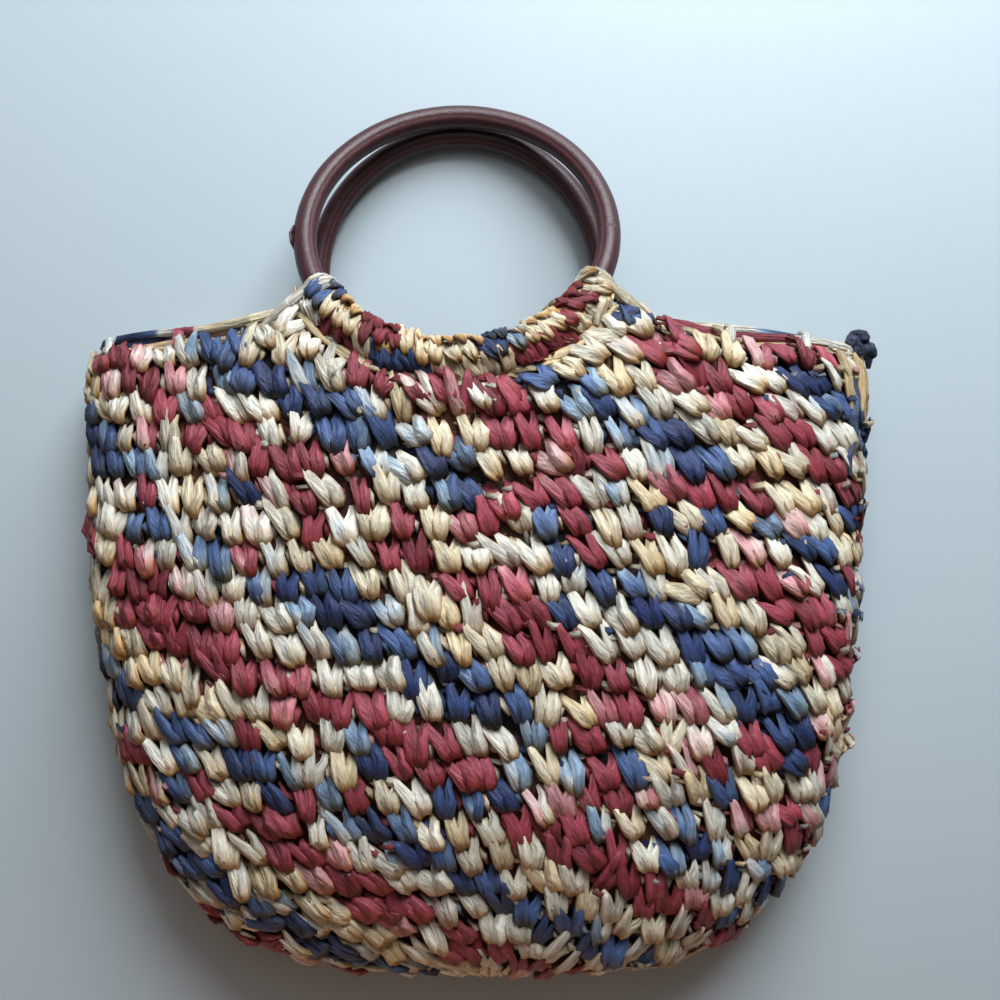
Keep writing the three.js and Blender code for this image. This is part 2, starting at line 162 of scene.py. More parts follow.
class Graph:
    """Adds nodes to a shader or Geometry Nodes tree."""

    def __init__(self, tree):
        self.tree = tree

    def add(self, kind, settings=None, sockets=None):
        node = self.tree.nodes.new(kind)
        for name, value in (settings or {}).items():
            if name == "stops":
                self.set_stops(node.color_ramp, value)
            else:
                setattr(node, name, value)
        self.feed(node, sockets or {})
        return node

    def feed(self, node, sockets):
        """Gives the named sockets of a node their links or values."""
        for name, value in sockets.items():
            socket = node.inputs[name]
            if isinstance(value, Amount):
                self.tree.links.new(value.socket, socket)
            elif isinstance(value, bpy.types.NodeSocket):
                self.tree.links.new(value, socket)
            else:
                socket.default_value = value

    def set_stops(self, ramp, stops):
        while len(ramp.elements) < len(stops):
            ramp.elements.new(0.5)
        for element, (place, colour) in zip(ramp.elements, stops):
            element.position = place
            element.color = colour

    def amount(self, kind, settings=None, sockets=None, output=0):
        return Amount(self, self.add(kind, settings, sockets).outputs[output])

    def attribute(self, name, output="Fac"):
        return self.amount("ShaderNodeAttribute", {"attribute_name": name}, output=output)

    def noise_along(self, place, stretch, values):
        """Noise of scale 1 at a place whose three coordinates are stretched, each by its own number."""
        pulled = self.add("ShaderNodeVectorMath", {"operation": "MULTIPLY"}, {0: place, 1: stretch})
        return self.amount("ShaderNodeTexNoise", None, {"Vector": pulled.outputs[0], "Scale": 1.0, **values})

    def mix_colours(self, share, first, second, blend="MIX"):
        settings = {"data_type": "RGBA", "blend_type": blend}
        node = self.add("ShaderNodeMix", settings, {0: share, 6: first, 7: second})
        return node.outputs[2]


def paint(red, green, blue):
    """A colour, 0 to 255 each, as the linear colour that Blender mixes with."""
    shares = [level / 255 for level in (red, green, blue)]
    linear = [v / 12.92 if v <= 0.04045 else ((v + 0.055) / 1.055) ** 2.4 for v in shares]
    return (*linear, 1.0)


def new_material(name):
    material = bpy.data.materials.new(name)
    material.use_nodes = True
    material.node_tree.nodes.clear()
    graph = Graph(material.node_tree)
    shader = graph.add("ShaderNodeBsdfPrincipled")
    graph.add("ShaderNodeOutputMaterial", None, {"Surface": shader.outputs[0]})
    return material, graph, shader


print("a grey of 128 out of 255 is mixed as", round(paint(128, 128, 128)[0], 3))

# %% [markdown]
# The table is a smooth pale board. It belongs to the stage, not to the bag, so it stays plain, with
# only a faint cloudiness.

# %% The table
BOARD_HALF = 2.5
table_material, graph, shader = new_material("pale_table")
place = graph.add("ShaderNodeTexCoord").outputs["Object"]
cloud = graph.amount("ShaderNodeTexNoise", None, {"Vector": place, "Scale": 3.0, "Detail": 2.0})
board = graph.mix_colours(cloud, paint(183, 197, 205), paint(191, 204, 211))
graph.feed(shader, {"Base Color": board, "Roughness": 0.5})
board_mesh = bpy.data.meshes.new("table_top")
board_corners = [(x * BOARD_HALF, y * BOARD_HALF, 0) for x, y in ((-1, -1), (1, -1), (1, 1), (-1, 1))]
board_mesh.from_pydata(board_corners, [], [(0, 1, 2, 3)])
table_top = bpy.data.objects.new("table_top", board_mesh)
table_top.data.materials.append(table_material)
scene.collection.objects.link(table_top)
print("table", 2 * BOARD_HALF, "m wide")

# %% [markdown]
# The stitches have to follow the bag's surface. Rays are shot inwards at the CAD body from all round,
# at any height over its base, and where they land is where the crochet is. Each height gives a loop
# round the bag, and equal steps along the loop give one round of stitches, as a hook would work them.

# %% Reading the bag's surface
MIDDLE_OVER_TABLE = 27 * MM
RAY_LENGTH = 0.4


class Surface:
    """The outside of a CAD node, asked for by a height along the bag and a direction round it."""

    def __init__(self, node):
        mesh = node.data
        corners = [v.co for v in mesh.vertices]
        self.tree = BVHTree.FromPolygons(corners, [p.vertices for p in mesh.polygons])
        self.middle_x = middle_x
        self.middle_z = MIDDLE_OVER_TABLE
        self.base = bag_low.y

    def hit(self, angle, height):
        """Where the surface is, in the direction angle from the middle, height over the lowest edge."""
        away = Vector((math.cos(angle), 0, math.sin(angle)))
        middle = Vector((self.middle_x, self.base + height, self.middle_z))
        spot, normal, _, _ = self.tree.ray_cast(middle + away * RAY_LENGTH, -away, RAY_LENGTH)
        if spot is None:
            return None, None
        return spot, normal

    def nearest(self, point):
        return self.tree.find_nearest(point)


surface = Surface(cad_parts["bag_body"])
ANGLES = 288


def direction(k):
    return 2 * math.pi * k / ANGLES


def loop_at(height):
    """The surface all round at one height: spots, and which of them are really on the bag."""
    spots = [surface.hit(direction(k), height)[0] for k in range(ANGLES)]
    there = [spot is not None for spot in spots]
    known = [k for k in range(ANGLES) if there[k]]
    if not known:
        return spots, there
    for k in range(ANGLES):
        if not there[k]:
            before = max((j for j in known if j < k), default=known[-1] - ANGLES)
            after = min((j for j in known if j > k), default=known[0] + ANGLES)
            share = (k - before) / (after - before)
            spots[k] = spots[before % ANGLES].lerp(spots[after % ANGLES], share)
    return spots, there


print("loop at half height:", sum(loop_at(0.15)[1]), "of", ANGLES, "rays land")

# %% [markdown]
# The mouth isn't level: it dips at each handle and rises to a peak beside it. For each direction, the
# highest landing ray is found by halving, and those spots make the line of the rim.

# %% The line of the rim
HALVINGS = 22
UNDER_RIM = 0.235
OVER_RIM = 0.335


def rim_height(angle):
    low, high = UNDER_RIM, OVER_RIM
    for _ in range(HALVINGS):
        middle = (low + high) / 2
        if surface.hit(angle, middle)[0] is None:
            high = middle
        else:
            low = middle
    return low


rim_heights = [rim_height(direction(k)) for k in range(ANGLES)]
rim_line = [surface.hit(direction(k), rim_heights[k] - 0.0004)[0] for k in range(ANGLES)]
rim_points = np.array(rim_line)
print("rim from", round(min(rim_heights) / MM), "to", round(max(rim_heights) / MM), "mm over the base")

# %% [markdown]
# Along the front, the rounds are one stitch height apart on the surface, so they crowd together in
# the picture where the base curls under. The first round lies on the lowest edge.

# %% Heights of the rounds
FIRST_ROUND = 3.5 * MM
ROUND_PITCH = 13.1 * MM
STITCH_PITCH = 12.4 * MM
LEVEL_STEP = 0.0008
STEP_PAST_RIM = 0.00086
LAST_LEVEL = 0.33
FRONT = math.pi / 2


def round_levels():
    """The height of each round over the base, found by walking up the middle of the front."""
    found = []
    walked = 0.0
    want = FIRST_ROUND
    height = LEVEL_STEP
    last = surface.hit(FRONT, height)[0]
    while height < LAST_LEVEL:
        height += LEVEL_STEP
        spot = surface.hit(FRONT, height)[0]
        walked += (spot - last).length if spot is not None else STEP_PAST_RIM
        last = spot if spot is not None else last
        if walked >= want:
            found.append(height)
            want += ROUND_PITCH
    return found


levels = round_levels()
travelled = [FIRST_ROUND + i * ROUND_PITCH for i in range(len(levels))]
print(len(levels), "rounds, at", [round(v / MM) for v in levels], "mm")

# %% [markdown]
# The dye repeats along the yarn: blue, cream, raspberry, cream. One repeat fills about ten stitches,
# and each round starts its blue a little to the left of the round below, so the colours lean into
# bands. A hand-made bag is uneven, so the middle of each blue band is charted here: millimetres
# up from the base, millimetres to the right of the bag's middle, and half the width of the blue.
# Between two blue bands one repeat of dye is stretched or squeezed. Above and below its chart a band
# drifts on at the usual slant, and outside the five bands the plain repeat goes on round the back.

# %% The chart of the blue bands
REPEAT = 124.0
DRIFT = 1.5
BLUE_HALF = 11.0
BLUE_SHARE = 0.1
LEAST_REPEAT = 0.55 * REPEAT
SPARE_BANDS = 5
BLUE_BANDS = [
    [(106, -57, 13), (110, -92, 15), (128, -120, 18), (137, -150, 26), (148, -172, 26)],
    [
        (82, 101, 11), (106, 77, 12), (124, 55, 12), (150, 4, 14),
        (171, -43, 19), (191, -59, 18), (204, -77, 12), (226, -145, 10), (263, -181, 17),
    ],
    [
        (104, 160, 14), (139, 131, 18), (175, 99, 17), (197, 63, 14), (226, 21, 9),
        (249, -12, 13), (265, -43, 14), (287, -83, 16), (306, -124, 19), (340, -141, 17),
    ],
    [(217, 148, 9), (244, 109, 12), (256, 91, 14), (269, 73, 14), (278, 55, 14)],
    [(278, 176, 14), (305, 138, 16), (311, 109, 13)],
]


def band_at(band, up):
    """Where a band's middle is at one height, and half its width."""
    first, last = band[0], band[-1]
    if up < first[0]:
        return first[1] + (first[0] - up) * DRIFT, BLUE_HALF
    if up > last[0]:
        return last[1] - (up - last[0]) * DRIFT, BLUE_HALF
    ups, across, halves = zip(*band)
    return float(np.interp(up, ups, across)), float(np.interp(up, ups, halves))


def dye_place(up, across):
    """How far along the yarn's dye a spot is, in repeats; blue is at the whole numbers."""
    middles, halves = (list(column) for column in zip(*(band_at(band, up) for band in BLUE_BANDS)))
    for i in range(1, len(middles)):
        middles[i] = max(middles[i], middles[i - 1] + LEAST_REPEAT)
    before = [middles[0] - REPEAT * n for n in range(SPARE_BANDS, 0, -1)]
    after = [middles[-1] + REPEAT * n for n in range(1, SPARE_BANDS + 1)]
    plain = [BLUE_HALF] * SPARE_BANDS
    marks, places = [], []
    for i, (middle, half) in enumerate(zip(before + middles + after, plain + halves + plain), -SPARE_BANDS):
        marks += [middle - half, middle + half]
        places += [i - BLUE_SHARE, i + BLUE_SHARE]
    return float(np.interp(across, marks, places))


print("repeats across the front, 150 mm up:", round(dye_place(150, 165) - dye_place(150, -165), 2))

# %% [markdown]
# Every mesh here carries numbers at its corners that its material reads, such as the place in the dye.
# These helpers write them, join rings of corners with faces, and turn all faces outwards.


# %% Meshes with attributes
def write_attribute(mesh, title, values):
    values = np.array(values)
    kind = "INT" if values.dtype.kind == "i" else "FLOAT_VECTOR" if values.ndim == 2 else "FLOAT"
    layer = mesh.attributes.new(title, kind, "POINT")
    flat = values.ravel().astype(np.int32 if kind == "INT" else np.float32)
    layer.data.foreach_set("vector" if kind == "FLOAT_VECTOR" else "value", flat)


def ring_faces(rings, around, start=0, closed=False):
    """The faces between rings of corners, and between the last and the first too where it's closed."""
    faces = []
    for i in range(rings if closed else rings - 1):
        here, ahead = start + i * around, start + (i + 1) % rings * around
        for k in range(around):
            after = (k + 1) % around
            faces.append((here + k, here + after, ahead + after, ahead + k))
    return faces


def new_mesh(name, corners, faces, values):
    mesh = bpy.data.meshes.new(name)
    mesh.from_pydata(corners, [], faces)
    for title, numbers in values.items():
        write_attribute(mesh, title, numbers)
    shape = bmesh.new()
    shape.from_mesh(mesh)
    bmesh.ops.recalc_face_normals(shape, faces=shape.faces)
    shape.to_mesh(mesh)
    shape.free()
    return mesh


print("a closed tube of 3 rings of 4 corners has", len(ring_faces(3, 4, closed=True)), "faces")

# %% [markdown]
# The yarn is a ribbon of crumpled paper. Each strand is a flattened tube that remembers where it is
# along and around itself, so that the creases in the paper can follow it. Its half widths and depths
# are in millimetres, one at each point of its path.

# %% Ribbons of raffia
# The outline across a folded ribbon: degrees round it, and its reach there as a share.
FOLDED = [(0, 1.0), (52, 1.16), (92, 0.66), (134, 1.1), (180, 1.0), (270, 0.8)]
FOLDED_OTHER = [(0, 1.0), (46, 1.1), (86, 0.66), (126, 1.16), (180, 1.0), (270, 0.8)]
# Shade painted along both edges of every ribbon, where it turns away between strands.
EDGE_PAINTED_SHADE = 0.5
UP = (0, 0, 1.0)


def even_section(count):
    return [(360 * k / count, 1.0) for k in range(count)]


class Strands:
    """Gathers ribbons into one mesh, with what the dye, the creases and the painted shade need to know."""

    def __init__(self, seed):
        self.random = np.random.default_rng(seed)
        self.corners = []
        self.faces = []
        self.values = {"strand": [], "behind": [], "tuck": [], "yarn": [], "yarn_next": [], "tint": []}

    def ribbon(self, path, half_widths, half_depths, section, side=None, closed=False, crush=0.1, **dye):
        """Sweeps a section along a path in millimetres. Side is the way of its width, one or one a point."""
        path = np.array(path, float)
        count = len(path)
        around = len(section)
        start = len(self.corners)
        identity = self.random.uniform(0, 50)
        tint = self.random.uniform(0, 1)
        swing = self.random.uniform(0, 2 * math.pi)
        length = 0.0
        for i in range(count):
            after = path[(i + 1) % count] if closed else path[min(i + 1, count - 1)]
            before = path[i - 1] if closed or i else path[0]
            ahead = (after - before) / np.linalg.norm(after - before)
            given = np.cross(ahead, UP) if side is None else np.array(side, float)
            across = given.reshape(-1, 3)[i % (given.size // 3)]
            across = across - ahead * across.dot(ahead)
            across /= np.linalg.norm(across)
            out = np.cross(across, ahead)
            length += np.linalg.norm(path[i] - path[i - 1]) if i else 0.0
            for turn, reach in section:
                turn = math.radians(turn)
                reach *= 1 + crush * math.cos(2 * turn + swing + 1.3 * i)
                reach += self.random.uniform(-crush, crush) * 0.6
                spot = path[i] + across * math.cos(turn) * half_widths[i] * reach
                self.corners.append(spot + out * math.sin(turn) * half_depths[i] * reach)
                self.values["strand"].append((turn / (2 * math.pi), length / 10, identity))
                self.values["tint"].append(tint)
                for title in ("behind", "tuck", "yarn", "yarn_next"):
                    value = dye.get(title, 0.0)
                    self.values[title].append(value if isinstance(value, float) else value[i])
                # Painted shade along the ribbon's edges.
                self.values["tuck"][-1] += EDGE_PAINTED_SHADE * math.cos(turn) ** 4
        self.faces += ring_faces(count, around, start, closed)
        if not closed:
            self.faces.append(tuple(start + k for k in reversed(range(around))))
            self.faces.append(tuple(start + (count - 1) * around + k for k in range(around)))

    def shaken(self, path, amount):
        """The path with each point moved at random, half as much up and down."""
        path = np.array(path, float)
        return path + self.random.uniform(-amount, amount, path.shape) * (1, 1, 0.5)

    def mesh(self, name, titles, floor=0.3):
        """The ribbons as one mesh, kept above a floor in millimetres."""
        corners = [(x * MM, y * MM, max(z, floor) * MM) for x, y, z in self.corners]
        return new_mesh(name, corners, self.faces, {title: self.values[title] for title in titles})


print("a folded ribbon has", len(FOLDED), "corners round it")

# %% [markdown]
# One stitch of this crochet looks like a small tulip: two ribbons that come up out of the stitch below,
# swell, and spread to two ragged tips, with short strands of its own round and of the next crossing
# behind them. Each could be modelled by itself, but there are over a thousand, so a few variants are
# made by a rule and repeated.

# %% One stitch, and its variants
PETAL_WIDTHS = np.array([1.0, 2.4, 3.2, 3.3, 2.5, 0.8])
PETAL_SWELLS = np.array([0, 1, 1, 1, 0, 0])
PETAL_DEPTHS = [0.5, 1.1, 1.7, 2.1, 1.9, 0.8]
# Shade painted along a petal, from its tip to its bottom: some at the tip, golden low down, and dark where
# it turns in.
PETAL_PAINTED_SHADE = [0.3, 0.15, 0.05, 0.45, 1.0, 1.7]


def leaning(path, slant):
    return [(x - slant * y, y, z) for x, y, z in path]


def stitch(seed):
    """One tulip of two ribbons, tips up, with the strands that cross behind it. Points are x, y, z in mm."""
    made = Strands(seed)
    r = made.random
    spread = r.uniform(0.8, 1.1)
    near = r.choice([-1, 1])
    slant = r.uniform(0.18, 0.48)
    for mirror in (-1, 1):
        tip = 3.9 * spread + r.uniform(-0.7, 0.7)
        rise = 7.9 - 0.9 * mirror + r.uniform(-1.5, 1.5)
        swell = r.uniform(0.92, 1.15)
        lift = 0.5 if mirror == near else 0.0
        path = [
            (mirror * tip, rise, -4.2),
            (mirror * (tip - 0.5), rise - 3.2, -2.5 + lift),
            (mirror * 2.5, -0.6, -1.6 + lift),
            (mirror * 1.7, -4.8, -1.4 + lift),
            (mirror * 1.1, -7.6, -2.6 + lift),
            (mirror * 0.5, -9.0, -5.0),
        ]
        section = FOLDED if r.uniform() < 0.5 else FOLDED_OTHER
        petal = made.shaken(leaning(path, slant), 0.5)
        widths = PETAL_WIDTHS * np.where(PETAL_SWELLS, swell, 1.0)
        made.ribbon(petal, widths, PETAL_DEPTHS, section, tuck=PETAL_PAINTED_SHADE)
    # The crossing strands and the loop are painted in shade at their ends, where they pass behind.
    for level, thick, behind in ((6.9, 1.7, 1.0), (2.6, 1.0, 0.0)):
        drop = r.uniform(-0.9, 0.9)
        bar = [(-9.4, level + 0.6 + drop, -5.6), (-6.4, level + drop, -3.2), (-2.2, level - 1.2, -4.6)]
        made.ribbon(
            made.shaken(leaning(bar, slant), 0.5),
            [thick * 0.8, thick, thick],
            [0.6, 0.8, 0.6],
            even_section(4),
            side=(0, 1, 0.2),
            behind=behind,
            tuck=[0.4, 0.0, 0.4],
        )
    loop = made.shaken([(4.0, 2.4, -4.2), (6.5, -1.6, -2.2), (7.9, -5.8, -4.6)], 0.7)
    made.ribbon(loop, [0.8, 1.9, 0.8], [0.6, 1.2, 0.6], even_section(4), behind=1.0, tuck=[0.8, 0.1, 0.8])
    return made


VARIANTS = 8
FIRST_SEED = 100
NO_FLOOR = -99.0
library = bpy.data.collections.new("stitch_library")
for v in range(VARIANTS):
    title = f"stitch_{v}"
    shape = stitch(FIRST_SEED + v).mesh(title, ["strand", "behind", "tuck"], NO_FLOOR)
    library.objects.link(bpy.data.objects.new(title, shape))

# %% [markdown]
# Paper raffia is twisted paper: softly shiny, crisp, creased lengthwise, with the dye a little uneven.
# The colour is worked out from how far along the yarn a stitch is, by a ramp from blue to blue that
# holds one repeat of the dye. Strands that belong to the next round take that round's colour, which
# speckles the borders of the bands. Where a strand is tucked in, shade is painted into its colour:
# golden, and deeper still brown and dark. One attribute says how much shade is painted: 0 in the
# open, 1 golden and 2 dark.

# %% The dyed yarn
BLUE = paint(74, 100, 152)
DEEP_BLUE = paint(38, 54, 104)
LIGHT_BLUE = paint(150, 178, 206)
CREAM = paint(228, 227, 218)
WARM_CREAM = paint(224, 207, 170)
PALE_PINK = paint(228, 176, 182)
RASPBERRY = paint(174, 80, 98)
DEEP_RASPBERRY = paint(134, 48, 60)
DYE = [
    (0.0, DEEP_BLUE),
    (0.06, BLUE),
    (0.1, BLUE),
    (0.125, LIGHT_BLUE),
    (0.15, CREAM),
    (0.29, WARM_CREAM),
    (0.405, CREAM),
    (0.43, PALE_PINK),
    (0.45, RASPBERRY),
    (0.56, DEEP_RASPBERRY),
    (0.69, RASPBERRY),
    (0.715, PALE_PINK),
    (0.735, CREAM),
    (0.875, CREAM),
    (0.9, LIGHT_BLUE),
    (0.92, BLUE),
    (0.97, DEEP_BLUE),
]
# What places painted in golden shade and in dark shade keep of each dye, as a share of white.
GOLDEN_SHADE = paint(212, 172, 120)
DARK_SHADE = paint(104, 62, 48)
# How far the mottle and the tint of a strand move it along the dye, and how much the streaks and
# the tint lighten or darken it. The tint is each strand's own tone; the streaks are partly the paper's
# own uneven tone and partly painted crease light and shade.
MOTTLE_SHIFT = 0.14
TINT_SHIFT = 0.04
STREAK_LIGHT = 2.2
TINT_LIGHT = 0.45
CREASE_DEPTH = 2.2 * MM


def yarn_material(name):
    material, graph, shader = new_material(name)
    behind = graph.attribute("behind")
    tuck = graph.attribute("tuck")
    own = graph.attribute("yarn")
    other = graph.attribute("yarn_next")
    tint = graph.attribute("tint")
    strand = graph.attribute("strand", "Vector")
    streaks = graph.noise_along(strand, (9.0, 1.1, 3.0), {"Detail": 5.0, "Roughness": 0.62})
    mottle = graph.noise_along(strand, (0.2, 0.35, 9.0), {"Detail": 2.0})
    along = own + (other - own) * behind
    along = along + (mottle - 0.5) * MOTTLE_SHIFT + (tint - 0.5) * TINT_SHIFT
    colour = graph.add("ShaderNodeValToRGB", {"stops": DYE}, {"Fac": along.fraction()}).outputs[0]
    # Partly painted crease light and shade: the streaks use the same noise as the crease bumps.
    light = (streaks - 0.5) * STREAK_LIGHT + 1.0 + (tint - 0.5) * TINT_LIGHT
    grey = graph.add("ShaderNodeCombineColor", None, {0: light, 1: light, 2: light * 0.985}).outputs[0]
    toned_and_crease_lit = graph.mix_colours(1.0, colour, grey, "MULTIPLY")
    # Painted shade: golden where a strand is tucked in, and dark brown deeper still.
    golden_shade = graph.mix_colours(1.0, toned_and_crease_lit, GOLDEN_SHADE, "MULTIPLY")
    shaded = graph.mix_colours(tuck.clamped(), toned_and_crease_lit, golden_shade)
    dark_shade = graph.mix_colours(1.0, toned_and_crease_lit, DARK_SHADE, "MULTIPLY")
    final = graph.mix_colours((tuck - 1).clamped(), shaded, dark_shade)
    rough = 0.52 - (streaks - 0.5) * 0.5
    bump = graph.add("ShaderNodeBump", None, {"Height": streaks, "Strength": 0.9, "Distance": CREASE_DEPTH})
    graph.feed(shader, {"Base Color": final, "Roughness": rough})
    graph.feed(shader, {"Specular IOR Level": 0.55, "Normal": bump.outputs[0]})
    return material


yarn = yarn_material("dyed_paper_raffia")
print("yarn material with", len(yarn.node_tree.nodes), "nodes and", len(DYE), "stops of dye")

# %% [markdown]
# The rounds are laid out as points. Each point knows which way its stitch faces and grows, how large
# it is, which variant it is and how far along the yarn it lies. Stitches lean, because every one is
# drawn towards the next by the hook, and on this bag they lean more towards its right side. Every
# second round is shifted by half a stitch. In a few rounds the dye changed colour within a stitch or
# two, so there some stitches take the colour from almost half a repeat away, and the bands break up
# into single flecks.

# %% Points for stitches
STITCH_WIDTH = 13.8 * MM
# How unevenly stitches sit: aside and up in millimetres, and in width and height as a share.
SPREAD_ASIDE = 0.9
SPREAD_UP = 1.3
SPREAD_WIDTH = 0.1
SPREAD_HEIGHT = 0.08


class Layout:
    """Points for stitches, with what each one needs."""

    def __init__(self, seed):
        self.random = np.random.default_rng(seed)
        self.spots = []
        titles = ("facing", "upward", "stretch", "kind", "yarn", "yarn_next", "tint")
        self.values = {title: [] for title in titles}

    def put(self, spot, facing, upward, size, yarn, yarn_next, lean=0.0, wobble=0.18):
        """Adds a stitch near a spot. Lean turns it to the left, and wobble is how unevenly it sits."""
        r = self.random
        facing = Vector(facing).normalized()
        upward = Vector(upward)
        upward = (upward - facing * upward.dot(facing)).normalized()
        side = upward.cross(facing)
        turn = lean + r.normal(0, wobble)
        upward = upward * math.cos(turn) - side * math.sin(turn)
        spot = Vector(spot) + side * r.normal(0, SPREAD_ASIDE) * MM * size[0]
        spot += upward * r.normal(0, SPREAD_UP) * MM * size[1]
        tilt = wobble * 0.8
        facing = (facing + side * r.normal(0, tilt) + upward * r.normal(0, tilt)).normalized()
        grow = r.normal(1, SPREAD_WIDTH)
        self.spots.append(spot)
        self.values["facing"].append(facing)
        self.values["upward"].append(upward)
        self.values["stretch"].append([size[0] * grow, size[1] * r.normal(1, SPREAD_HEIGHT), size[2] * grow])
        self.values["kind"].append(int(r.integers(0, VARIANTS)))
        self.values["yarn"].append(yarn)
        self.values["yarn_next"].append(yarn_next)
        self.values["tint"].append(r.uniform(0, 1))

    def object(self, name):
        mesh = bpy.data.meshes.new(name)
        mesh.from_pydata(self.spots, [], [])
        for title, values in self.values.items():
            write_attribute(mesh, title, values)
        holder = bpy.data.objects.new(name, mesh)
        scene.collection.objects.link(holder)
        return holder


print("a stitch of size 1 is", round(STITCH_WIDTH / MM, 1), "mm wide")

# %% Facing, growing and dye at a place on the bag
LOWEST = 0.8 * MM
FACING_STEP = 5 * MM
UP_STEP = 4 * MM
DYE_SPREAD = 0.025
HALF_UP = 150 * MM


def smooth_facing(k, height):
    """The direction the surface faces, averaged over the size of a stitch."""
    total = Vector((0, 0, 0))
    for turn in (-2, 0, 2):
        for rise in (-FACING_STEP, 0.0, FACING_STEP):
            _, normal = surface.hit(direction(k + turn), max(LOWEST, height + rise))
            if normal is not None:
                total += normal
    return total.normalized() if total.length > 0 else Vector((0, 0, 1))


def surface_up(k, height):
    """The way from the base to the rim along the surface."""
    low = surface.hit(direction(k), max(LOWEST, height - UP_STEP))[0]
    high = surface.hit(direction(k), height + UP_STEP)[0]
    if low is None or high is None:
        return Vector((0, 1, 0))
    return (high - low).normalized()


# The flecked rounds: from and to, in millimetres over the base, and the share of stitches that change.
FLECKED = [(88, 138, 0.36), (202, 240, 0.3)]
FLECKS_ELSEWHERE = 0.02
FLECK_JUMP = 0.4
flecks = np.random.default_rng(5)


def dye_for(up, away):
    """The dye of a stitch so far up from the base and to the right of the bag's middle, in metres."""
    place = dye_place(up / MM, away / MM) + flecks.normal(0, DYE_SPREAD)
    chance = max([FLECKS_ELSEWHERE] + [share for low, high, share in FLECKED if low < up / MM < high])
    if flecks.uniform() < chance:
        place += flecks.choice([-FLECK_JUMP, FLECK_JUMP])
    return float(place)


print("facing at half height in front:", [round(v, 2) for v in smooth_facing(ANGLES // 4, HALF_UP)])

# %% Measuring along a round
RIM_CLEAR = 8.0 * MM
front_middle = ANGLES // 4


class Round:
    """A closed loop on the bag with the lengths along it, which grow to the left on the front."""

    def __init__(self, spots):
        self.spots = spots
        self.steps = [(spots[(k + 1) % ANGLES] - spots[k]).length for k in range(ANGLES)]
        self.runs = np.concatenate([[0], np.cumsum(self.steps)])
        self.whole = self.runs[-1]

    def at(self, run):
        """The number of the ray before a length along the round, and the spot there."""
        k = int(np.searchsorted(self.runs, run, side="right")) - 1
        share = (run - self.runs[k]) / max(self.steps[k], 1e-9)
        return k, self.spots[k].lerp(self.spots[(k + 1) % ANGLES], share)

    def away(self, run):
        """How far a length along the round is from the front's middle, to the right above nought."""
        half = self.whole / 2
        return (self.runs[front_middle] - run + half) % self.whole - half


def near_rim(spot):
    return np.min(np.linalg.norm(rim_points - np.array(spot), axis=1)) < RIM_CLEAR


print("round at half height:", round(Round(loop_at(HALF_UP)[0]).whole / MM), "mm")

# %% Laying out the rounds
# Every stitch leans by LEAN, and by RIGHT_LEAN more where it is FULL_LEAN_AT or more to the right.
LEAN = math.radians(6)
RIGHT_LEAN = math.radians(13)
FULL_LEAN_AT = 150 * MM
WAVE = 2.2 * MM
# Stitches over this height from the table, and on the side of the sky, are the front's.
FRONT_ABOVE = 30 * MM
STITCH_SIZE = (1.1, 1.1, 1.05)
parts = ("front_low", "front_high", "back_low", "back_high")
layouts = {name: Layout(seed) for seed, name in enumerate(parts, 11)}


def lay_round(number, height):
    spots, there = loop_at(height)
    if not any(there):
        return
    loop = Round(spots)
    count = max(8, round(loop.whole / STITCH_PITCH))
    width = loop.whole / count / STITCH_WIDTH
    shift = 0.5 if number % 2 else 0.0
    up = travelled[number]
    for i in range(count):
        run = (loop.runs[front_middle] + loop.whole * (i + shift) / count) % loop.whole
        k, spot = loop.at(run)
        if not (there[k] and there[(k + 1) % ANGLES]):
            continue
        spot += surface_up(k, height) * WAVE * noise.noise(spot * 28 + Vector((number * 5, 0, 0)))
        if near_rim(spot):
            continue
        away = loop.away(run)
        side = "front" if math.sin(direction(k)) > 0 and spot.z > FRONT_ABOVE else "back"
        part = "low" if height < HALF_UP else "high"
        layouts[f"{side}_{part}"].put(
            spot,
            smooth_facing(k, height),
            surface_up(k, height),
            (width * STITCH_SIZE[0], *STITCH_SIZE[1:]),
            dye_for(up, away),
            dye_for(up + ROUND_PITCH, away),
            LEAN + RIGHT_LEAN * max(0.0, min(1.0, away / FULL_LEAN_AT)),
        )


for number, height in enumerate(levels):
    lay_round(number, height)
print({name: len(layout.spots) for name, layout in layouts.items()}, "stitches laid")

# %% [markdown]
# The last round follows the rim itself: it dips under the handles and climbs to the peaks beside them,
# so its stitches turn with the rim. Beside the handles its colours are charted, as stretches
# across the bag. On the lowest edge, one more row closes the base.

# %% The round at the rim and the closing row
# Beside the handles: from and to, in millimetres to the right of the middle, and the place in the dye.
RIM_PEAKS = [(-104, -68, 0.84), (-68, -50, 0.75), (48, 60, 0.2), (60, 76, 0.02), (76, 92, 0.5)]
RIM_SIZE = (1.0, 0.84, 0.95)
RIM_DROP = 5.6 * MM
RIM_SPREAD = 0.02
# How far under the rim its facing and its way up are read.
FACING_UNDER = 8 * MM
UP_UNDER = 6 * MM
BASE_STITCHES = 9
BASE_SIZE = (0.9, 0.9, 1.0)
BASE_SHIFT = 6 * MM
BASE_LIFT = 1.5 * MM
rim_layout = Layout(31)
rim_round = Round(rim_line)
rim_out = [smooth_facing(k, rim_heights[k] - FACING_UNDER) for k in range(ANGLES)]


def over_rim(k):
    """The way on over the rim from the bag, square to the line of the rim."""
    tangent = rim_line[(k + 3) % ANGLES] - rim_line[k - 3]
    upward = rim_out[k].cross(tangent).normalized()
    return -upward if upward.dot(surface_up(k, rim_heights[k] - UP_UNDER)) < 0 else upward


rim_up = [over_rim(k) for k in range(ANGLES)]


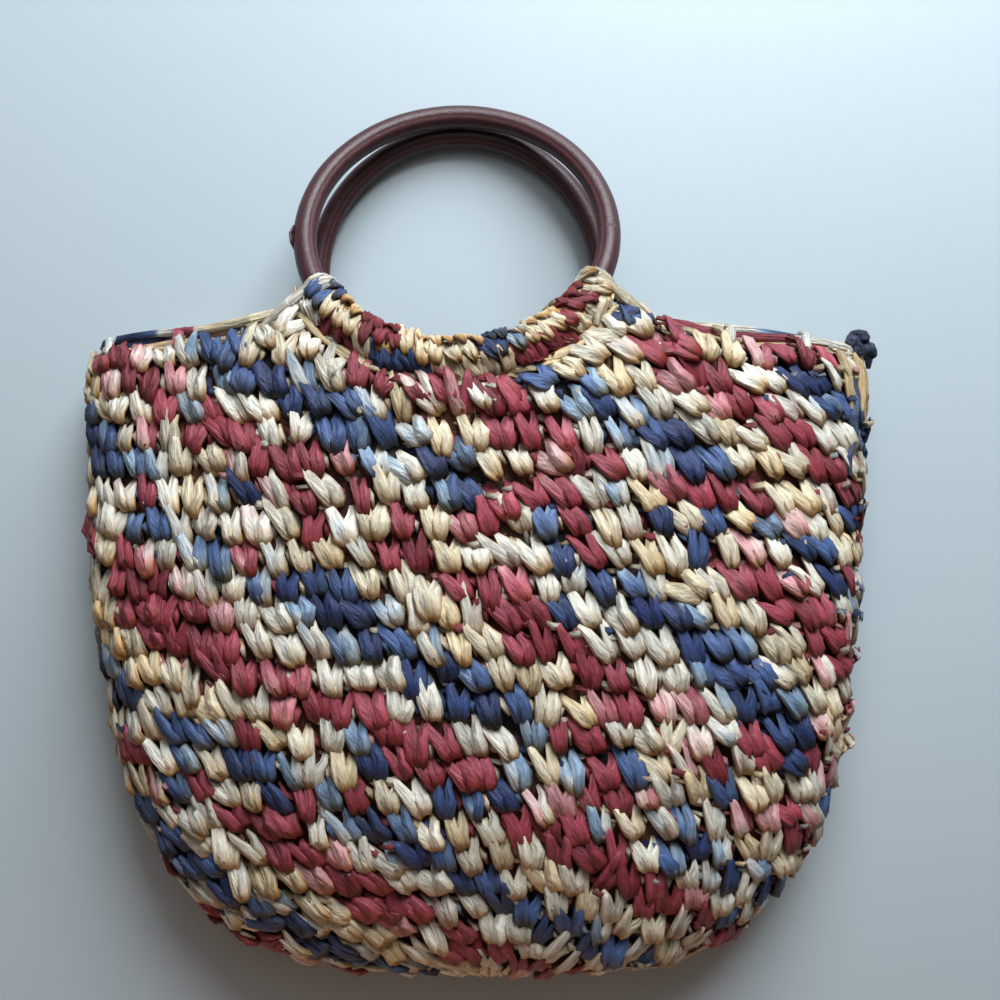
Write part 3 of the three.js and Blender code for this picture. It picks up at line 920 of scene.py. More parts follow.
def lay_rim():
    count = round(rim_round.whole / STITCH_PITCH)
    for i in range(count):
        run = rim_round.whole * i / count
        k, spot = rim_round.at(run)
        inside = spot - rim_up[k] * RIM_DROP
        landed, normal, _, _ = surface.nearest(inside)
        if normal.dot(rim_out[k]) < 0:
            landed = inside
        up = ROUND_PITCH + float(np.interp(landed.y - surface.base, levels, travelled))
        dye = dye_for(up, rim_round.away(run))
        if landed.z > FRONT_ABOVE:
            across = (landed.x - surface.middle_x) / MM
            for low, high, place in RIM_PEAKS:
                dye = place + flecks.normal(0, RIM_SPREAD) if low < across < high else dye
        rim_layout.put(landed, rim_out[k], rim_up[k], RIM_SIZE, dye, dye, LEAN * 0.5)


def lay_base():
    for i in range(BASE_STITCHES):
        across = BASE_SHIFT + (i - (BASE_STITCHES - 1) / 2) * STITCH_PITCH
        spot = Vector((surface.middle_x + across, surface.base, surface.middle_z + BASE_LIFT))
        dye = dye_for(-ROUND_PITCH, across)
        layouts["front_low"].put(spot, (0, -1, 0), (0, 0, 1), BASE_SIZE, dye, dye, LEAN)


lay_rim()
lay_base()
print(len(rim_layout.spots), "stitches round the rim")

# %% [markdown]
# One Geometry Nodes tree turns any layout into stitches. It sets an instance on each point, turns it to
# face outwards, makes the instances real, crumples everything with a little noise and keeps it above
# the table. Repeating real stitches by hand would need over a thousand objects. The sizes are named
# inputs, so the same tree serves the body and the sleeves.

# %% The tree that places stitches
FLOAT_SOCKETS = (("Crumple", 0.0), ("Crumple Size", 100.0), ("Table Height", -1.0))


def stitch_tree():
    tree = bpy.data.node_groups.new("crochet_stitches", "GeometryNodeTree")
    graph = Graph(tree)
    face = tree.interface
    for title, kind in (("Geometry", "Geometry"), ("Stitches", "Collection"), ("Yarn", "Material")):
        face.new_socket(title, in_out="INPUT", socket_type="NodeSocket" + kind)
    for title, value in FLOAT_SOCKETS:
        face.new_socket(title, in_out="INPUT", socket_type="NodeSocketFloat").default_value = value
    face.new_socket("Geometry", in_out="OUTPUT", socket_type="NodeSocketGeometry")
    given = graph.add("NodeGroupInput").outputs

    def named(title, kind):
        return graph.add("GeometryNodeInputNamedAttribute", {"data_type": kind}, {"Name": title}).outputs[0]

    shelf = graph.add(
        "GeometryNodeCollectionInfo",
        {"transform_space": "ORIGINAL"},
        {"Collection": given["Stitches"], "Separate Children": True, "Reset Children": True},
    )
    turned = graph.add(
        "FunctionNodeAxesToRotation",
        {"primary_axis": "Z", "secondary_axis": "Y"},
        {0: named("facing", "FLOAT_VECTOR"), 1: named("upward", "FLOAT_VECTOR")},
    )
    placed = graph.add(
        "GeometryNodeInstanceOnPoints",
        None,
        {
            "Points": given["Geometry"],
            "Instance": shelf.outputs[0],
            "Pick Instance": True,
            "Instance Index": named("kind", "INT"),
            "Rotation": turned.outputs[0],
            "Scale": named("stretch", "FLOAT_VECTOR"),
        },
    )
    real = graph.add("GeometryNodeRealizeInstances", None, {"Geometry": placed.outputs[0]})
    place = graph.add("GeometryNodeInputPosition").outputs[0]
    rough = {"Vector": place, "Scale": given["Crumple Size"], "Detail": 3.0}
    cloud = graph.add("ShaderNodeTexNoise", None, rough).outputs["Color"]
    centred = graph.add("ShaderNodeVectorMath", {"operation": "SUBTRACT"}, {0: cloud, 1: (0.5, 0.5, 0.5)})
    scaled = {0: centred.outputs[0], "Scale": given["Crumple"]}
    pushed = graph.add("ShaderNodeVectorMath", {"operation": "SCALE"}, scaled)
    moved = graph.add("ShaderNodeVectorMath", {"operation": "ADD"}, {0: place, 1: pushed.outputs[0]})
    apart = graph.add("ShaderNodeSeparateXYZ", None, {0: moved.outputs[0]})
    height = Amount(graph, apart.outputs[2]).at_least(given["Table Height"])
    whole = graph.add("ShaderNodeCombineXYZ", None, {0: apart.outputs[0], 1: apart.outputs[1], 2: height})
    grown = real.outputs[0]
    for kind, values in (
        ("GeometryNodeSetPosition", {"Position": whole.outputs[0]}),
        ("GeometryNodeSetShadeSmooth", {"Shade Smooth": True}),
        ("GeometryNodeSetMaterial", {"Material": given["Yarn"]}),
    ):
        grown = graph.add(kind, None, {"Geometry": grown, **values}).outputs[0]
    graph.add("NodeGroupOutput", None, {"Geometry": grown})
    return tree


placing = stitch_tree()
print("stitch tree with", len(placing.nodes), "nodes")

# %% Growing the layouts into stitches
TABLE_CLEAR = 0.2 * MM
CRUMPLE = 2.4 * MM
CRUMPLE_SIZE = 150.0


def grow(layout, name, crumple=CRUMPLE, crumple_size=CRUMPLE_SIZE):
    """Runs the tree on a layout and keeps the result as a plain mesh object."""
    holder = layout.object(name + "_points")
    modifier = holder.modifiers.new("stitches", "NODES")
    modifier.node_group = placing
    wanted = {
        "Stitches": library,
        "Yarn": yarn,
        "Crumple": crumple,
        "Crumple Size": crumple_size,
        "Table Height": TABLE_CLEAR,
    }
    for item in placing.interface.items_tree:
        if item.in_out == "INPUT" and item.name in wanted:
            modifier[item.identifier] = wanted[item.name]
    evaluated = holder.evaluated_get(bpy.context.evaluated_depsgraph_get())
    mesh = bpy.data.meshes.new_from_object(evaluated)
    mesh.name = name
    bpy.data.objects.remove(holder)
    piece = bpy.data.objects.new(name, mesh)
    scene.collection.objects.link(piece)
    return piece


def finished(piece, slot, *nodes):
    """Says what a piece rides on and hides the CAD nodes that it stands for. The slot is not used."""
    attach(piece, "root")
    if nodes:
        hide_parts(*nodes)
    triangles = sum(len(p.vertices) - 2 for p in piece.data.polygons)
    print(piece.name, triangles, "triangles")
    return piece


for name, layout in layouts.items():
    finished(grow(layout, "crochet_" + name), "crocheted_straw", "bag_body")
finished(grow(rim_layout, "crochet_rim_round"), "crocheted_straw", "bag_body")

# %% [markdown]
# Behind the tulips lies the wrong side of the crochet, a bumpy layer that shows inside the mouth and
# closes the little holes. Its outer face, seen only through the holes, is painted all over in dark
# shade. It is one closed sheet, a few millimetres inside the tulips, with rows of low bumps on its inner
# side where each stitch crosses the next; that side is painted in golden shade, least on the bumps. Its
# rows lie a little closer together near the base, where the surface curls most.

# %% The wrong side of the crochet
YARN_TITLES = ["strand", "behind", "tuck", "yarn", "yarn_next", "tint"]
ROWS_UP = 84
INNER_DEPTH = 7.6 * MM
OUTER_DEPTH = 5.3 * MM
BUMP = 1.4 * MM
SHEET_FLOOR = 1.0 * MM
SHEET_FROM = 2.2 * MM
SHEET_UNDER_RIM = 1.2 * MM
ROW_SPREAD = 1.15


def made_object(name, mesh, material):
    mesh.materials.append(material)
    piece = bpy.data.objects.new(name, mesh)
    scene.collection.objects.link(piece)
    return piece


def dyed(place):
    """Both dyes of yarn that takes one place in the dye, or one at each point."""
    return {"yarn": place, "yarn_next": place}


def yarn_piece(name, made, slot, node):
    """Strands as a finished piece of yarn."""
    return finished(made_object(name, made.mesh(name, YARN_TITLES), yarn), slot, node)


def wrong_side():
    """One closed sheet round the bag. Its rows are spots on the surface from the base to the rim."""
    grid = np.zeros((ROWS_UP, ANGLES, 3))
    for j in range(ROWS_UP):
        for k in range(ANGLES):
            top = rim_heights[k] - SHEET_UNDER_RIM
            height = SHEET_FROM + (top - SHEET_FROM) * (j / (ROWS_UP - 1)) ** ROW_SPREAD
            grid[j, k] = surface.hit(direction(k), height)[0]
    round_way = np.roll(grid, -2, axis=1) - np.roll(grid, 2, axis=1)
    up_way = np.gradient(grid, axis=0)
    facing = np.cross(up_way, round_way)
    facing /= np.linalg.norm(facing, axis=2, keepdims=True)
    middle = np.array([surface.middle_x, 0, surface.middle_z])
    outward = (grid - middle) * (1, 0, 1)
    facing *= np.sign(np.sum(facing * outward, axis=2, keepdims=True))
    heights = grid[:, :, 1] - surface.base
    numbers = np.interp(heights, levels, range(len(levels)))
    ups = np.interp(heights, levels, travelled)
    steps = np.linalg.norm(np.roll(grid, -1, axis=1) - grid, axis=2)
    runs = np.cumsum(steps, axis=1)
    away = runs[:, front_middle : front_middle + 1] - runs
    whole = runs[:, -1:]
    away = (away + whole / 2) % whole - whole / 2
    stitches = away / STITCH_PITCH + 0.5 * np.floor(numbers)
    bumps = np.abs(np.sin(np.pi * numbers)) ** 0.6 * (0.55 + 0.45 * np.abs(np.cos(np.pi * stitches)))
    inner = grid - facing * (INNER_DEPTH - (bumps * BUMP)[:, :, None])
    outer = grid - facing * OUTER_DEPTH
    for sheet in (inner, outer):
        sheet[:, :, 2] = np.maximum(sheet[:, :, 2], SHEET_FLOOR)
    dye = [dye_place(u / MM, a / MM) for u, a in zip(ups.ravel(), away.ravel())]
    corners = np.concatenate([outer.reshape(-1, 3), inner.reshape(-1, 3)])
    size = ROWS_UP * ANGLES
    faces = ring_faces(ROWS_UP, ANGLES) + ring_faces(ROWS_UP, ANGLES, size)
    last = size - ANGLES
    for k in range(ANGLES):
        a, b = last + k, last + (k + 1) % ANGLES
        faces.append((a, b, size + b, size + a))
    faces.append(tuple(reversed(range(ANGLES))))
    faces.append(tuple(range(size, size + ANGLES)))
    strand = np.stack([stitches.ravel() * 0.5, numbers.ravel(), np.floor(numbers).ravel()], axis=1)
    values = {
        "strand": np.concatenate([strand, strand]),
        "behind": np.zeros(2 * size),
        "tint": np.full(2 * size, 0.5),
        # Painted shade: dark all over the outer face, and golden on the inner face, least on the bumps.
        "tuck": np.concatenate([np.full(size, 2.0), 0.95 - 0.6 * bumps.ravel()]),
        **dyed(dye + dye),
    }
    mesh = new_mesh("crochet_wrong_side", corners.tolist(), faces, values)
    mesh.shade_smooth()
    return mesh


finished(made_object("crochet_wrong_side", wrong_side(), yarn), "crocheted_straw", "bag_body")

# %% [markdown]
# Inside the mouth each stitch shows its back, a strand that runs along the round. It is made with the
# same stitches, laid on their sides and facing in. Only the upper rounds can be seen, so only they
# have them.

# %% The rounds inside the mouth
INSIDE_FROM = 190 * MM
INSIDE_DEPTH = 8.8 * MM
INSIDE_FLOOR = 5.5 * MM
INSIDE_SIZE = (0.9, 0.85, 0.6)


def lay_inside():
    layout = Layout(37)
    for number, height in enumerate(levels):
        spots, there = loop_at(height)
        if travelled[number] < INSIDE_FROM or not any(there):
            continue
        loop = Round(spots)
        for run in np.arange(0, loop.whole, STITCH_PITCH):
            k, _ = loop.at(run)
            after = (k + 1) % ANGLES
            if not (there[k] and there[after]) or near_rim(spots[k]):
                continue
            facing = smooth_facing(k, height)
            spot = spots[k] - facing * INSIDE_DEPTH
            spot.z = max(spot.z, INSIDE_FLOOR)
            dye = dye_for(travelled[number], loop.away(run))
            layout.put(spot, -facing, spots[after] - spots[k], INSIDE_SIZE, dye, dye, wobble=0.12)
    return layout


finished(grow(lay_inside(), "crochet_inside_rounds"), "crocheted_straw", "bag_body")

# %% [markdown]
# Each handle is a hoop 150 mm across, wrapped in brown leatherette. The place, size and slope of both
# hoops are read from their CAD boxes.

# %% The hoops
TUBE = 5.5 * MM
GRAIN_DEPTH = 0.6 * MM


class Hoop:
    """The circle of a handle, sloping up towards the bag."""

    def __init__(self, node):
        low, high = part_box(node)
        self.middle = (low + high) / 2
        self.radius = (high.x - low.x) / 2 - TUBE
        self.slope = math.asin(((high.z - low.z) / 2 - TUBE) / self.radius)

    def outward(self, angle):
        across, along = math.cos(angle), math.sin(angle)
        return Vector((across, along * math.cos(self.slope), -along * math.sin(self.slope)))

    def normal(self):
        return Vector((0, math.sin(self.slope), math.cos(self.slope)))

    def facing(self, angle, turn):
        """Out of the tube: turn 0 faces away from the hoop's middle, 90 degrees faces up."""
        return self.outward(angle) * math.cos(turn) + self.normal() * math.sin(turn)

    def spot(self, angle, turn, reach):
        return self.middle + self.outward(angle) * self.radius + self.facing(angle, turn) * reach


hoops = {name: Hoop("handle_ring_" + name) for name in ("front", "back")}
for name, hoop in hoops.items():
    slope, radius = math.degrees(hoop.slope), hoop.radius / MM
    print(name, "hoop slopes", round(slope, 1), "degrees, radius", round(radius, 1))

# %% [markdown]
# The leatherette is dark brown with a fine grain, and it is paler where it is worn and along the seam.


# %% Leatherette
def leatherette_material():
    material, graph, shader = new_material("brown_leatherette")
    skin = graph.attribute("skin", "Vector")
    seam = graph.attribute("seam")
    grain = graph.amount("ShaderNodeTexVoronoi", {"feature": "F1"}, {"Vector": skin, "Scale": 1.1})
    soft = graph.amount("ShaderNodeTexNoise", None, {"Vector": skin, "Scale": 0.22, "Detail": 4.0})
    wide = {"Vector": skin, "Scale": 0.06, "Detail": 6.0, "Roughness": 0.7}
    wear = graph.amount("ShaderNodeTexNoise", None, wide)
    worn = ((wear - 0.62) * 6).clamped()
    base = graph.mix_colours(soft, paint(48, 22, 27), paint(76, 38, 44))
    scuffed = graph.mix_colours(worn * 0.35, base, paint(132, 96, 88))
    lined = graph.mix_colours((seam * 0.5).clamped(), scuffed, paint(124, 84, 80))
    rough = 0.36 + soft * 0.16 + worn * 0.15
    lumps = grain * 0.5 + soft
    bump = graph.add("ShaderNodeBump", None, {"Height": lumps, "Strength": 0.25, "Distance": GRAIN_DEPTH})
    graph.feed(shader, {"Base Color": lined, "Roughness": rough})
    graph.feed(shader, {"Specular IOR Level": 0.5, "Normal": bump.outputs[0]})
    return material


leatherette = leatherette_material()
print("leatherette with", len(leatherette.node_tree.nodes), "nodes")

# %% [markdown]
# Each hoop is swept again with many more sides than the CAD has, because its long highlight would show
# every flat. The skin is pulled round the tube from one long seam on the inner side.

# %% The skin of the hoops
HOOP_STEPS = 224
HOOP_SIDES = 36
SEAM_TURN = math.radians(128)
SEAM_WIDTH = 0.1
# In millimetres: how far the skin lies inside the CAD tube, how uneven it is, and how deep the seam is.
SKIN_INSET = 0.22
SKIN_LUMPS = 0.14
SEAM_DEPTH = 0.35


def hoop_mesh(name, hoop, seed):
    """The skin of a hoop, a little uneven and dipping at the seam, all within the CAD tube."""
    corners, skin, seams = [], [], []
    for i in range(HOOP_STEPS):
        angle = 2 * math.pi * i / HOOP_STEPS
        for k in range(HOOP_SIDES):
            turn = 2 * math.pi * k / HOOP_SIDES
            seam = math.exp(-(((turn - SEAM_TURN) / SEAM_WIDTH) ** 2))
            spot = hoop.spot(angle, turn, TUBE)
            lump = noise.noise(spot * 60 + Vector((seed, 0, 0)))
            reach = TUBE + (SKIN_LUMPS * lump - SKIN_INSET - SEAM_DEPTH * seam) * MM
            corners.append(hoop.spot(angle, turn, reach))
            skin.append((hoop.radius * angle / MM, TUBE * turn / MM, seed))
            seams.append(seam)
    faces = ring_faces(HOOP_STEPS, HOOP_SIDES, closed=True)
    mesh = new_mesh(name, corners, faces, {"skin": skin, "seam": seams})
    mesh.shade_smooth()
    return mesh


for seed, (name, hoop) in enumerate(hoops.items()):
    title = "leatherette_hoop_" + name
    piece = made_object(title, hoop_mesh(title, hoop, seed * 3.7), leatherette)
    finished(piece, "brown_leatherette", "handle_ring_" + name)

# %% [markdown]
# The sleeves that hold the hoops are worked in the same yarn with a finer stitch. Their rounds run
# along the hoop, and the tips of the tulips point to the middle of the handle. The colours are charted
# by letter: blue, light blue, cream, pink and raspberry. They run from left to right on the front
# sleeve and from right to left on the rear one. Under the stitches lies a plain core.

# %% The sleeves
LETTERS = {"b": 0.02, "l": 0.14, "c": 0.25, "p": 0.445, "r": 0.56}
EDGE_ROUND = "brrrcrrcllcccbcrrccrbb"
UPPER_ROUND = "bbccrrrcccccbblcccrrrc"
LOWER_ROUND = "crrrrcbbbbccccrrrrcccc"
# Each round: the degrees round the tube, 0 away from the hoop's middle and 90 up, and its colours.
SLEEVE_ROUNDS = [
    (-30, LOWER_ROUND),
    (28, LOWER_ROUND),
    (88, UPPER_ROUND),
    (146, UPPER_ROUND),
    (205, EDGE_ROUND),
    (265, EDGE_ROUND),
]
SLEEVE_TUBE = 9.4 * MM
SLEEVE_STITCHES = 23
SLEEVE_SIZE = (1.25, 0.76, 0.72)
SLEEVE_LEAN = 0.12
SLEEVE_WOBBLE = 0.12
SLEEVE_CRUMPLE = 1.4 * MM
SLEEVE_CRUMPLE_SIZE = 220.0
# Where each sleeve starts and ends, in degrees round its hoop.
SLEEVES = {"front": (210, 333), "back": (210, 331)}
# The core, and the strands tied round its ends: radii in millimetres, and the gap between ties in radians.
CORE_STEPS = 60
CORE_RADIUS = 7.4
CORE_END = 6.3
TIE_STEPS = 14
TIE_RADIUS = 7.6
TIE_GAP = 0.038


def lay_sleeve(name, seed):
    layout = Layout(seed)
    hoop = hoops[name]
    start, end = (math.radians(v) for v in SLEEVES[name])
    for row, (turn, letters) in enumerate(SLEEVE_ROUNDS):
        turned = math.radians(turn)
        letters = letters[::-1] if name == "back" else letters
        reach = hoop.radius + SLEEVE_TUBE * math.cos(turned)
        width = (end - start) * reach / SLEEVE_STITCHES / STITCH_WIDTH
        for i in range(SLEEVE_STITCHES):
            share = (i + (0.5 if row % 2 else 0.15)) / SLEEVE_STITCHES
            angle = start + (end - start) * share
            dye = LETTERS[letters[min(int(share * len(letters)), len(letters) - 1)]]
            facing = hoop.facing(angle, turned)
            upward = hoop.facing(angle, turned + math.pi / 2) * (-1 if turn > 180 else 1)
            spot = hoop.spot(angle, turned, SLEEVE_TUBE)
            size = (width * SLEEVE_SIZE[0], *SLEEVE_SIZE[1:])
            layout.put(spot, facing, upward, size, dye, dye, SLEEVE_LEAN, SLEEVE_WOBBLE)
    return layout


def sleeve_core(name, seed):
    """The inside of a sleeve, round the hoop, with three strands tied round each end."""
    hoop = hoops[name]
    made = Strands(seed)
    start, end = (math.radians(v) for v in SLEEVES[name])
    angles = [start + (end - start) * i / (CORE_STEPS - 1) for i in range(CORE_STEPS)]
    path = [hoop.spot(angle, 0, 0) / MM for angle in angles]
    sides = [hoop.outward(angle) for angle in angles]
    taper = [CORE_END] + [CORE_RADIUS] * (CORE_STEPS - 2) + [CORE_END]
    # The core, seen between the stitches, is painted in golden shade.
    made.ribbon(path, taper, taper, even_section(18), side=sides, crush=0.02, tuck=0.9, **dyed(0.25))
    turns = [2 * math.pi * k / TIE_STEPS for k in range(TIE_STEPS)]
    for angle, lean in ((start, 1), (end, -1)):
        for ring in range(3):
            where = angle + lean * (ring - 0.9) * TIE_GAP
            loop = [hoop.spot(where, turn, (TIE_RADIUS + 0.6 * ring) * MM) / MM for turn in turns]
            made.ribbon(
                made.shaken(loop, 0.3),
                [1.2] * TIE_STEPS,
                [2.0] * TIE_STEPS,
                even_section(7),
                side=[hoop.facing(where, turn) for turn in turns],
                closed=True,
                **dyed(0.78),
            )
    return made


for seed, name in enumerate(SLEEVES, 41):
    layout = lay_sleeve(name, seed)
    stitches = grow(layout, "sleeve_stitches_" + name, SLEEVE_CRUMPLE, SLEEVE_CRUMPLE_SIZE)
    finished(stitches, "casing_straw", "casing_" + name)
    yarn_piece("sleeve_core_" + name, sleeve_core(name, seed), "casing_straw", "casing_" + name)

# %% [markdown]
# Beside the handles the rim is finished with long strands laid along it and caught down by short
# wraps. Just inside the rim lies a chain, from which the last round hangs. From each end of the front
# sleeve a few loose strands run down to the peak of the rim. At the right corner the yarn ends in a
# navy knot, and the side below it shows long upright strands.

# %% The chain and the strands at the peaks
TAN = 0.29
PEAK_STRANDS = 7
PEAK_DYES = (0.78, 0.26)


def by_rim(k, rise, out, floor=0.0):
    """A spot in mm, so far over the rim and so far out of the bag, and not under the floor."""
    spot = rim_line[k] / MM + rim_up[k] * rise + rim_out[k] * out
    spot.z = max(spot.z, floor)
    return spot


def rim_chain(seed):
    """Two strands that twist round each other, all the way round the inside of the rim."""
    made = Strands(seed)
    steps = range(0, ANGLES, 2)
    for strand in range(2):
        turns = [k * 0.24 + strand * math.pi for k in steps]
        path = [by_rim(k, 0.9 * math.sin(t) - 0.9, math.cos(t) - 3.4, 1.6) for k, t in zip(steps, turns)]
        widths = [1.7 + 0.5 * math.sin(2 * turn) for turn in turns]
        depths = [1.5] * len(path)
        path = made.shaken(path, 0.4)
        # The chain is painted in a little golden shade.
        made.ribbon(path, widths, depths, even_section(8), closed=True, tuck=0.3, **dyed(TAN))
    return made


def peak_strands(seed):
    """Loose strands from each end of the front sleeve down to the rim, which close the corner there."""
    made = Strands(seed)
    hoop = hoops["front"]
    for end, side, dye in zip(SLEEVES["front"], (-1, 1), PEAK_DYES):
        heel = hoop.spot(math.radians(end), 0, 0)
        beside = [k for k in range(ANGLES) if (rim_line[k].x - hoop.middle.x) * side > 0]
        beside = [k for k in beside if rim_line[k].z > FRONT_ABOVE and abs(rim_line[k].x) >= abs(heel.x)]
        for strand in range(PEAK_STRANDS):
            reach = (12 + 3.2 * strand) * MM
            k = min(beside, key=lambda k: abs((rim_line[k] - heel).length - reach))
            start = hoop.spot(math.radians(end), math.radians(10 + 14 * strand), 8.4 * MM) / MM
            finish = by_rim(k, 1.0, -1.5)
            middle = start.lerp(finish, 0.5) + Vector((0, 0, 2.0))
            shade = dye + float(made.random.normal(0, 0.02))
            path = made.shaken([start, middle, finish], 0.6)
            # Painted shade at both ends of each strand.
            painted_shades = [0.3, 0.0, 0.3]
            made.ribbon(path, [1.4, 2.4, 1.4], [0.8, 1.1, 0.8], even_section(7), tuck=painted_shades, **dyed(shade))
    return made


yarn_piece("crochet_rim_chain", rim_chain(57), "crocheted_straw", "bag_body")
yarn_piece("crochet_peak_strands", peak_strands(59), "crocheted_straw", "bag_body")

# %% The edging
# The dye along each edging, from the handle outwards: share of its length, and place in the dye.
EDGINGS = {
    "left": [(0, 0.3), (0.3, 0.3), (0.36, 0.9), (0.6, 1.06), (0.64, 1.2), (1.0, 1.35)],
    "right": [(0, 0.29), (0.12, 0.29), (0.16, 0.56), (0.42, 0.56), (0.46, 0.8), (0.62, 0.8), (1.0, 1.3)],
}
# A wrap that catches the strands down: millimetres over the rim and out of the bag at each step.
WRAP_STEPS = [(-6.0, -0.6), (-1.5, 1.1), (4.2, 1.0), (6.2, -2.6), (5.0, -5.8), (0.0, -6.8)]
WRAP_WIDTHS = [0.8, 2.0, 2.3, 2.0, 1.6, 0.7]
EDGING_STRANDS = 4
EDGING_MIDDLE = 3 * MM
EDGING_NEAR = 3.2 * MM
SLEEVE_REACH = 14 * MM


def edging_run(node, hoop):
    """The stretch of rim under a CAD edging, carried on over the front up to the handle's sleeve."""
    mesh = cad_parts[node].data
    tree = BVHTree.FromPolygons([v.co for v in mesh.vertices], [p.vertices for p in mesh.polygons])

    def covered(k):
        return tree.find_nearest(rim_line[k] + rim_up[k] * EDGING_MIDDLE)[3] < EDGING_NEAR

    def beside_sleeve(k):
        offset = rim_line[k] - hoop.middle
        flat = offset - hoop.normal() * offset.dot(hoop.normal())
        ring = hoop.middle + flat.normalized() * hoop.radius
        return (rim_line[k] - ring).length < SLEEVE_REACH

    run = [k for k in range(ANGLES) if covered(k)]
    breaks = [i for i in range(1, len(run)) if run[i] - run[i - 1] > 1]
    run = run[breaks[0] :] + run[: breaks[0]] if breaks else run
    front_first = rim_line[run[0]].z > rim_line[run[-1]].z
    step = -1 if front_first else 1
    k = run[0] if front_first else run[-1]
    while not beside_sleeve((k + step) % ANGLES) and len(run) < ANGLES // 2:
        k = (k + step) % ANGLES
        run.insert(0 if front_first else len(run), k)
    return run if front_first else run[::-1]


def edging(node, seed, chart):
    """Strands laid along the rim from the handle outwards, and the wraps that catch them down."""
    made = Strands(seed)
    stations = edging_run(node, hoops["front"])[::2]
    count = len(stations)
    shares = [i / (count - 1) for i in range(count)]
    charted = np.interp(shares, *zip(*chart))
    widths = [0.5] + [1.9] * (count - 2) + [0.5]
    depths = [w * 0.62 for w in widths]
    for strand in range(EDGING_STRANDS):
        swing = made.random.uniform(0, 6.28)
        path = []
        for i, (k, share) in enumerate(zip(stations, shares)):
            turn = swing + i * 0.21 + strand * 1.57
            ends = 3 * math.exp(-6 * share) + 2 * math.exp(-8 * (1 - share))
            path.append(by_rim(k, 3.8 + 1.7 * math.sin(turn) + ends, 1.9 * math.cos(turn) - 3.2, 1.4))
        dye = (charted + 0.03 * strand).tolist()
        made.ribbon(made.shaken(path, 0.35), widths, depths, even_section(7), **dyed(dye))
    for i in range(5, count - 1, 3):
        path = [by_rim(stations[i], rise, out, 1.2) for rise, out in WRAP_STEPS]
        dye = float(charted[i] + 0.03 + made.random.normal(0, 0.1))
        made.ribbon(made.shaken(path, 0.5), WRAP_WIDTHS, [0.7] * 6, even_section(7), **dyed(dye))
    return made


for seed, (side, chart) in enumerate(EDGINGS.items(), 51):
    strands = edging("rim_edging_" + side, seed, chart)
    yarn_piece("edging_strands_" + side, strands, "edging_straw", "rim_edging_" + side)

# %% The corner strands and the knot
NAVY = 0.02
# Each loop of the knot: how far it is tipped, in radians, and where its middle is, in millimetres.
KNOT_LOOPS = [(0.3, (-2.6, 3.2, 0)), (1.5, (1.2, -1.6, 0.6)), (2.4, (0.2, 0.6, 1.2))]
KNOT_ENDS = [[(0, 0, 0), (-3.5, 4.5, 1), (-7.5, 5.0, 0)], [(0, 0, 0), (3.2, -5.0, -1), (4.0, -9.5, -3)]]
KNOT_STEPS = 12


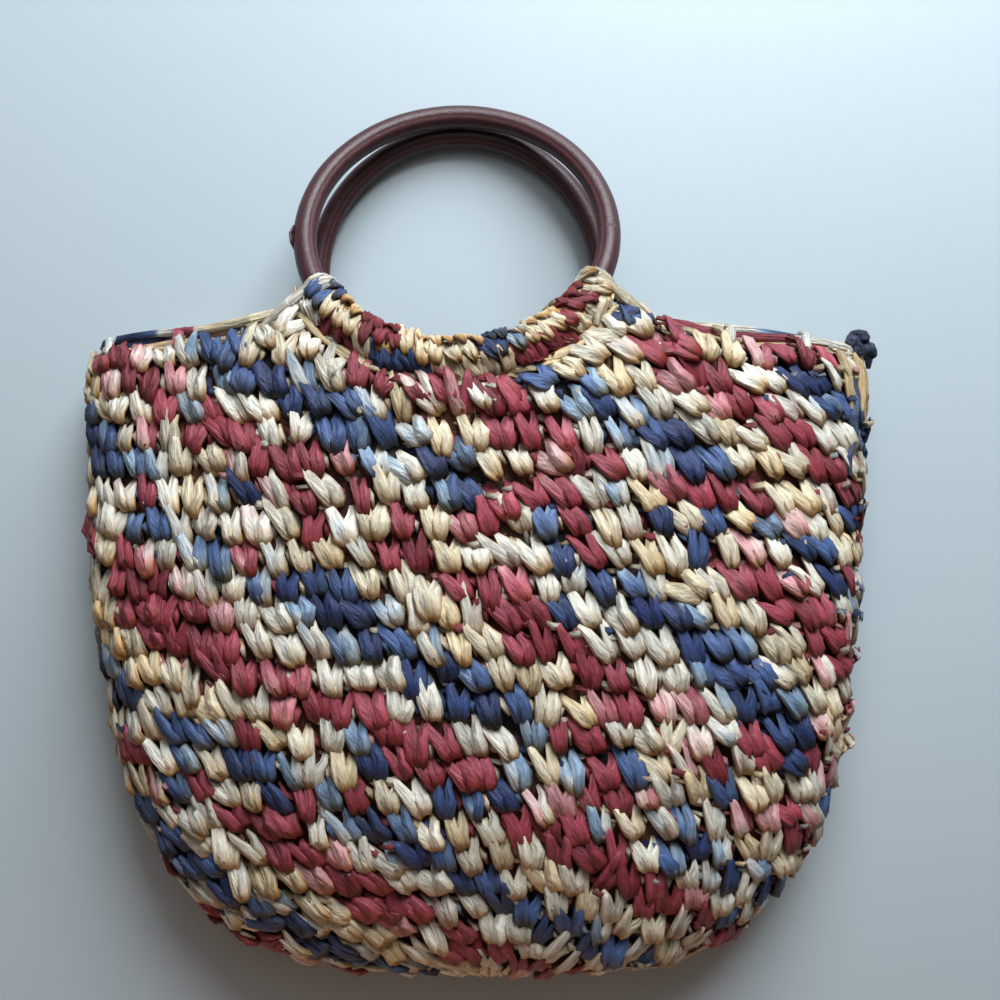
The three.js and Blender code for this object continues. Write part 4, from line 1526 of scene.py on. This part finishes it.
def corner_knot(seed):
    """Three loops of yarn pulled tight round each other, and the two cut ends."""
    made = Strands(seed)
    low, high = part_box("corner_knot")
    middle = (low + high) / 2 / MM - Vector((6.0, -2.0, -1.0))
    widths, depths = [2.1] * KNOT_STEPS, [1.4] * KNOT_STEPS
    # The loops and the ends of the knot are painted in some golden shade.
    for tip, shift in KNOT_LOOPS:
        rise, fall = math.sin(tip), math.cos(tip)
        loop = []
        for k in range(KNOT_STEPS):
            turn = 2 * math.pi * k / KNOT_STEPS
            x, y, z = math.cos(turn) * 3.7, math.sin(turn) * 3.3, 1.6 * math.sin(2 * turn + tip)
            loop.append(middle + Vector(shift) + Vector((x, y * fall - z * rise, y * rise + z * fall)))
        loop = made.shaken(loop, 0.6)
        made.ribbon(loop, widths, depths, even_section(7), closed=True, tuck=0.6, **dyed(NAVY))
    for steps in KNOT_ENDS:
        path = made.shaken([middle + Vector(step) for step in steps], 0.3)
        made.ribbon(path, [2.0, 2.1, 1.0], [1.3, 1.2, 0.6], even_section(7), tuck=0.6, **dyed(NAVY))
    return made


def corner_strands(seed):
    """Upright strands down the side below the knot: five tan ones at the top, and a long navy one."""
    made = Strands(seed)
    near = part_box("corner_knot")[0]
    first = min(range(ANGLES), key=lambda k: (rim_line[k] - near).length)
    for strand in range(6):
        navy = strand == 5
        k = (first + (4 if navy else 2 * strand - 3)) % ANGLES
        top = rim_heights[k] - (14 if navy else 1) * MM
        path = []
        for i in range(6):
            height = top - i * (9 if navy else 5.5) * MM
            spot = surface.hit(direction(k + (i // 2 if navy else 0)), height)[0]
            path.append(spot / MM + smooth_facing(k, height) * (0.8 - 0.25 * abs(i - 2.5)))
        # Painted shade: more on the navy strand than on the tan ones.
        dye, tuck = (NAVY, 0.6) if navy else (TAN, 0.45)
        widths = [1.0, 1.9, 2.0, 2.0, 1.8, 0.8]
        made.ribbon(made.shaken(path, 0.5), widths, [0.9] * 6, even_section(7), tuck=tuck, **dyed(dye))
    return made


yarn_piece("crochet_corner_strands", corner_strands(63), "crocheted_straw", "bag_body")
yarn_piece("navy_corner_knot", corner_knot(61), "navy_yarn", "corner_knot")

# %% [markdown]
# Where the leatherette wrap of the front hoop ends, a small flap stands off its outer side.

# %% The end of the wrap
FLAP = [(1.6, -5.4, 0), (0.1, -2.2, 0.4), (-0.4, 1.6, 0), (1.4, 5.2, -0.2)]


def wrap_end(seed):
    """The flap, one short wide ribbon in the place of its CAD node."""
    made = Strands(seed)
    low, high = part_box("ring_wrap_tab")
    middle = (low + high) / 2 / MM
    path = made.shaken([middle + Vector(step) for step in FLAP], 0.2)
    made.ribbon(path, [2.6, 3.2, 3.0, 1.6], [0.8, 1.0, 0.9, 0.6], even_section(12), side=(0, 0, 1))
    mesh = made.mesh("wrap_end", [])
    write_attribute(mesh, "skin", np.array([v.co / MM for v in mesh.vertices]))
    mesh.shade_smooth()
    return mesh


finished(made_object("leatherette_wrap_end", wrap_end(71), leatherette), "wrapping_end", "ring_wrap_tab")

# %% Updating the scene
bpy.context.view_layer.update()
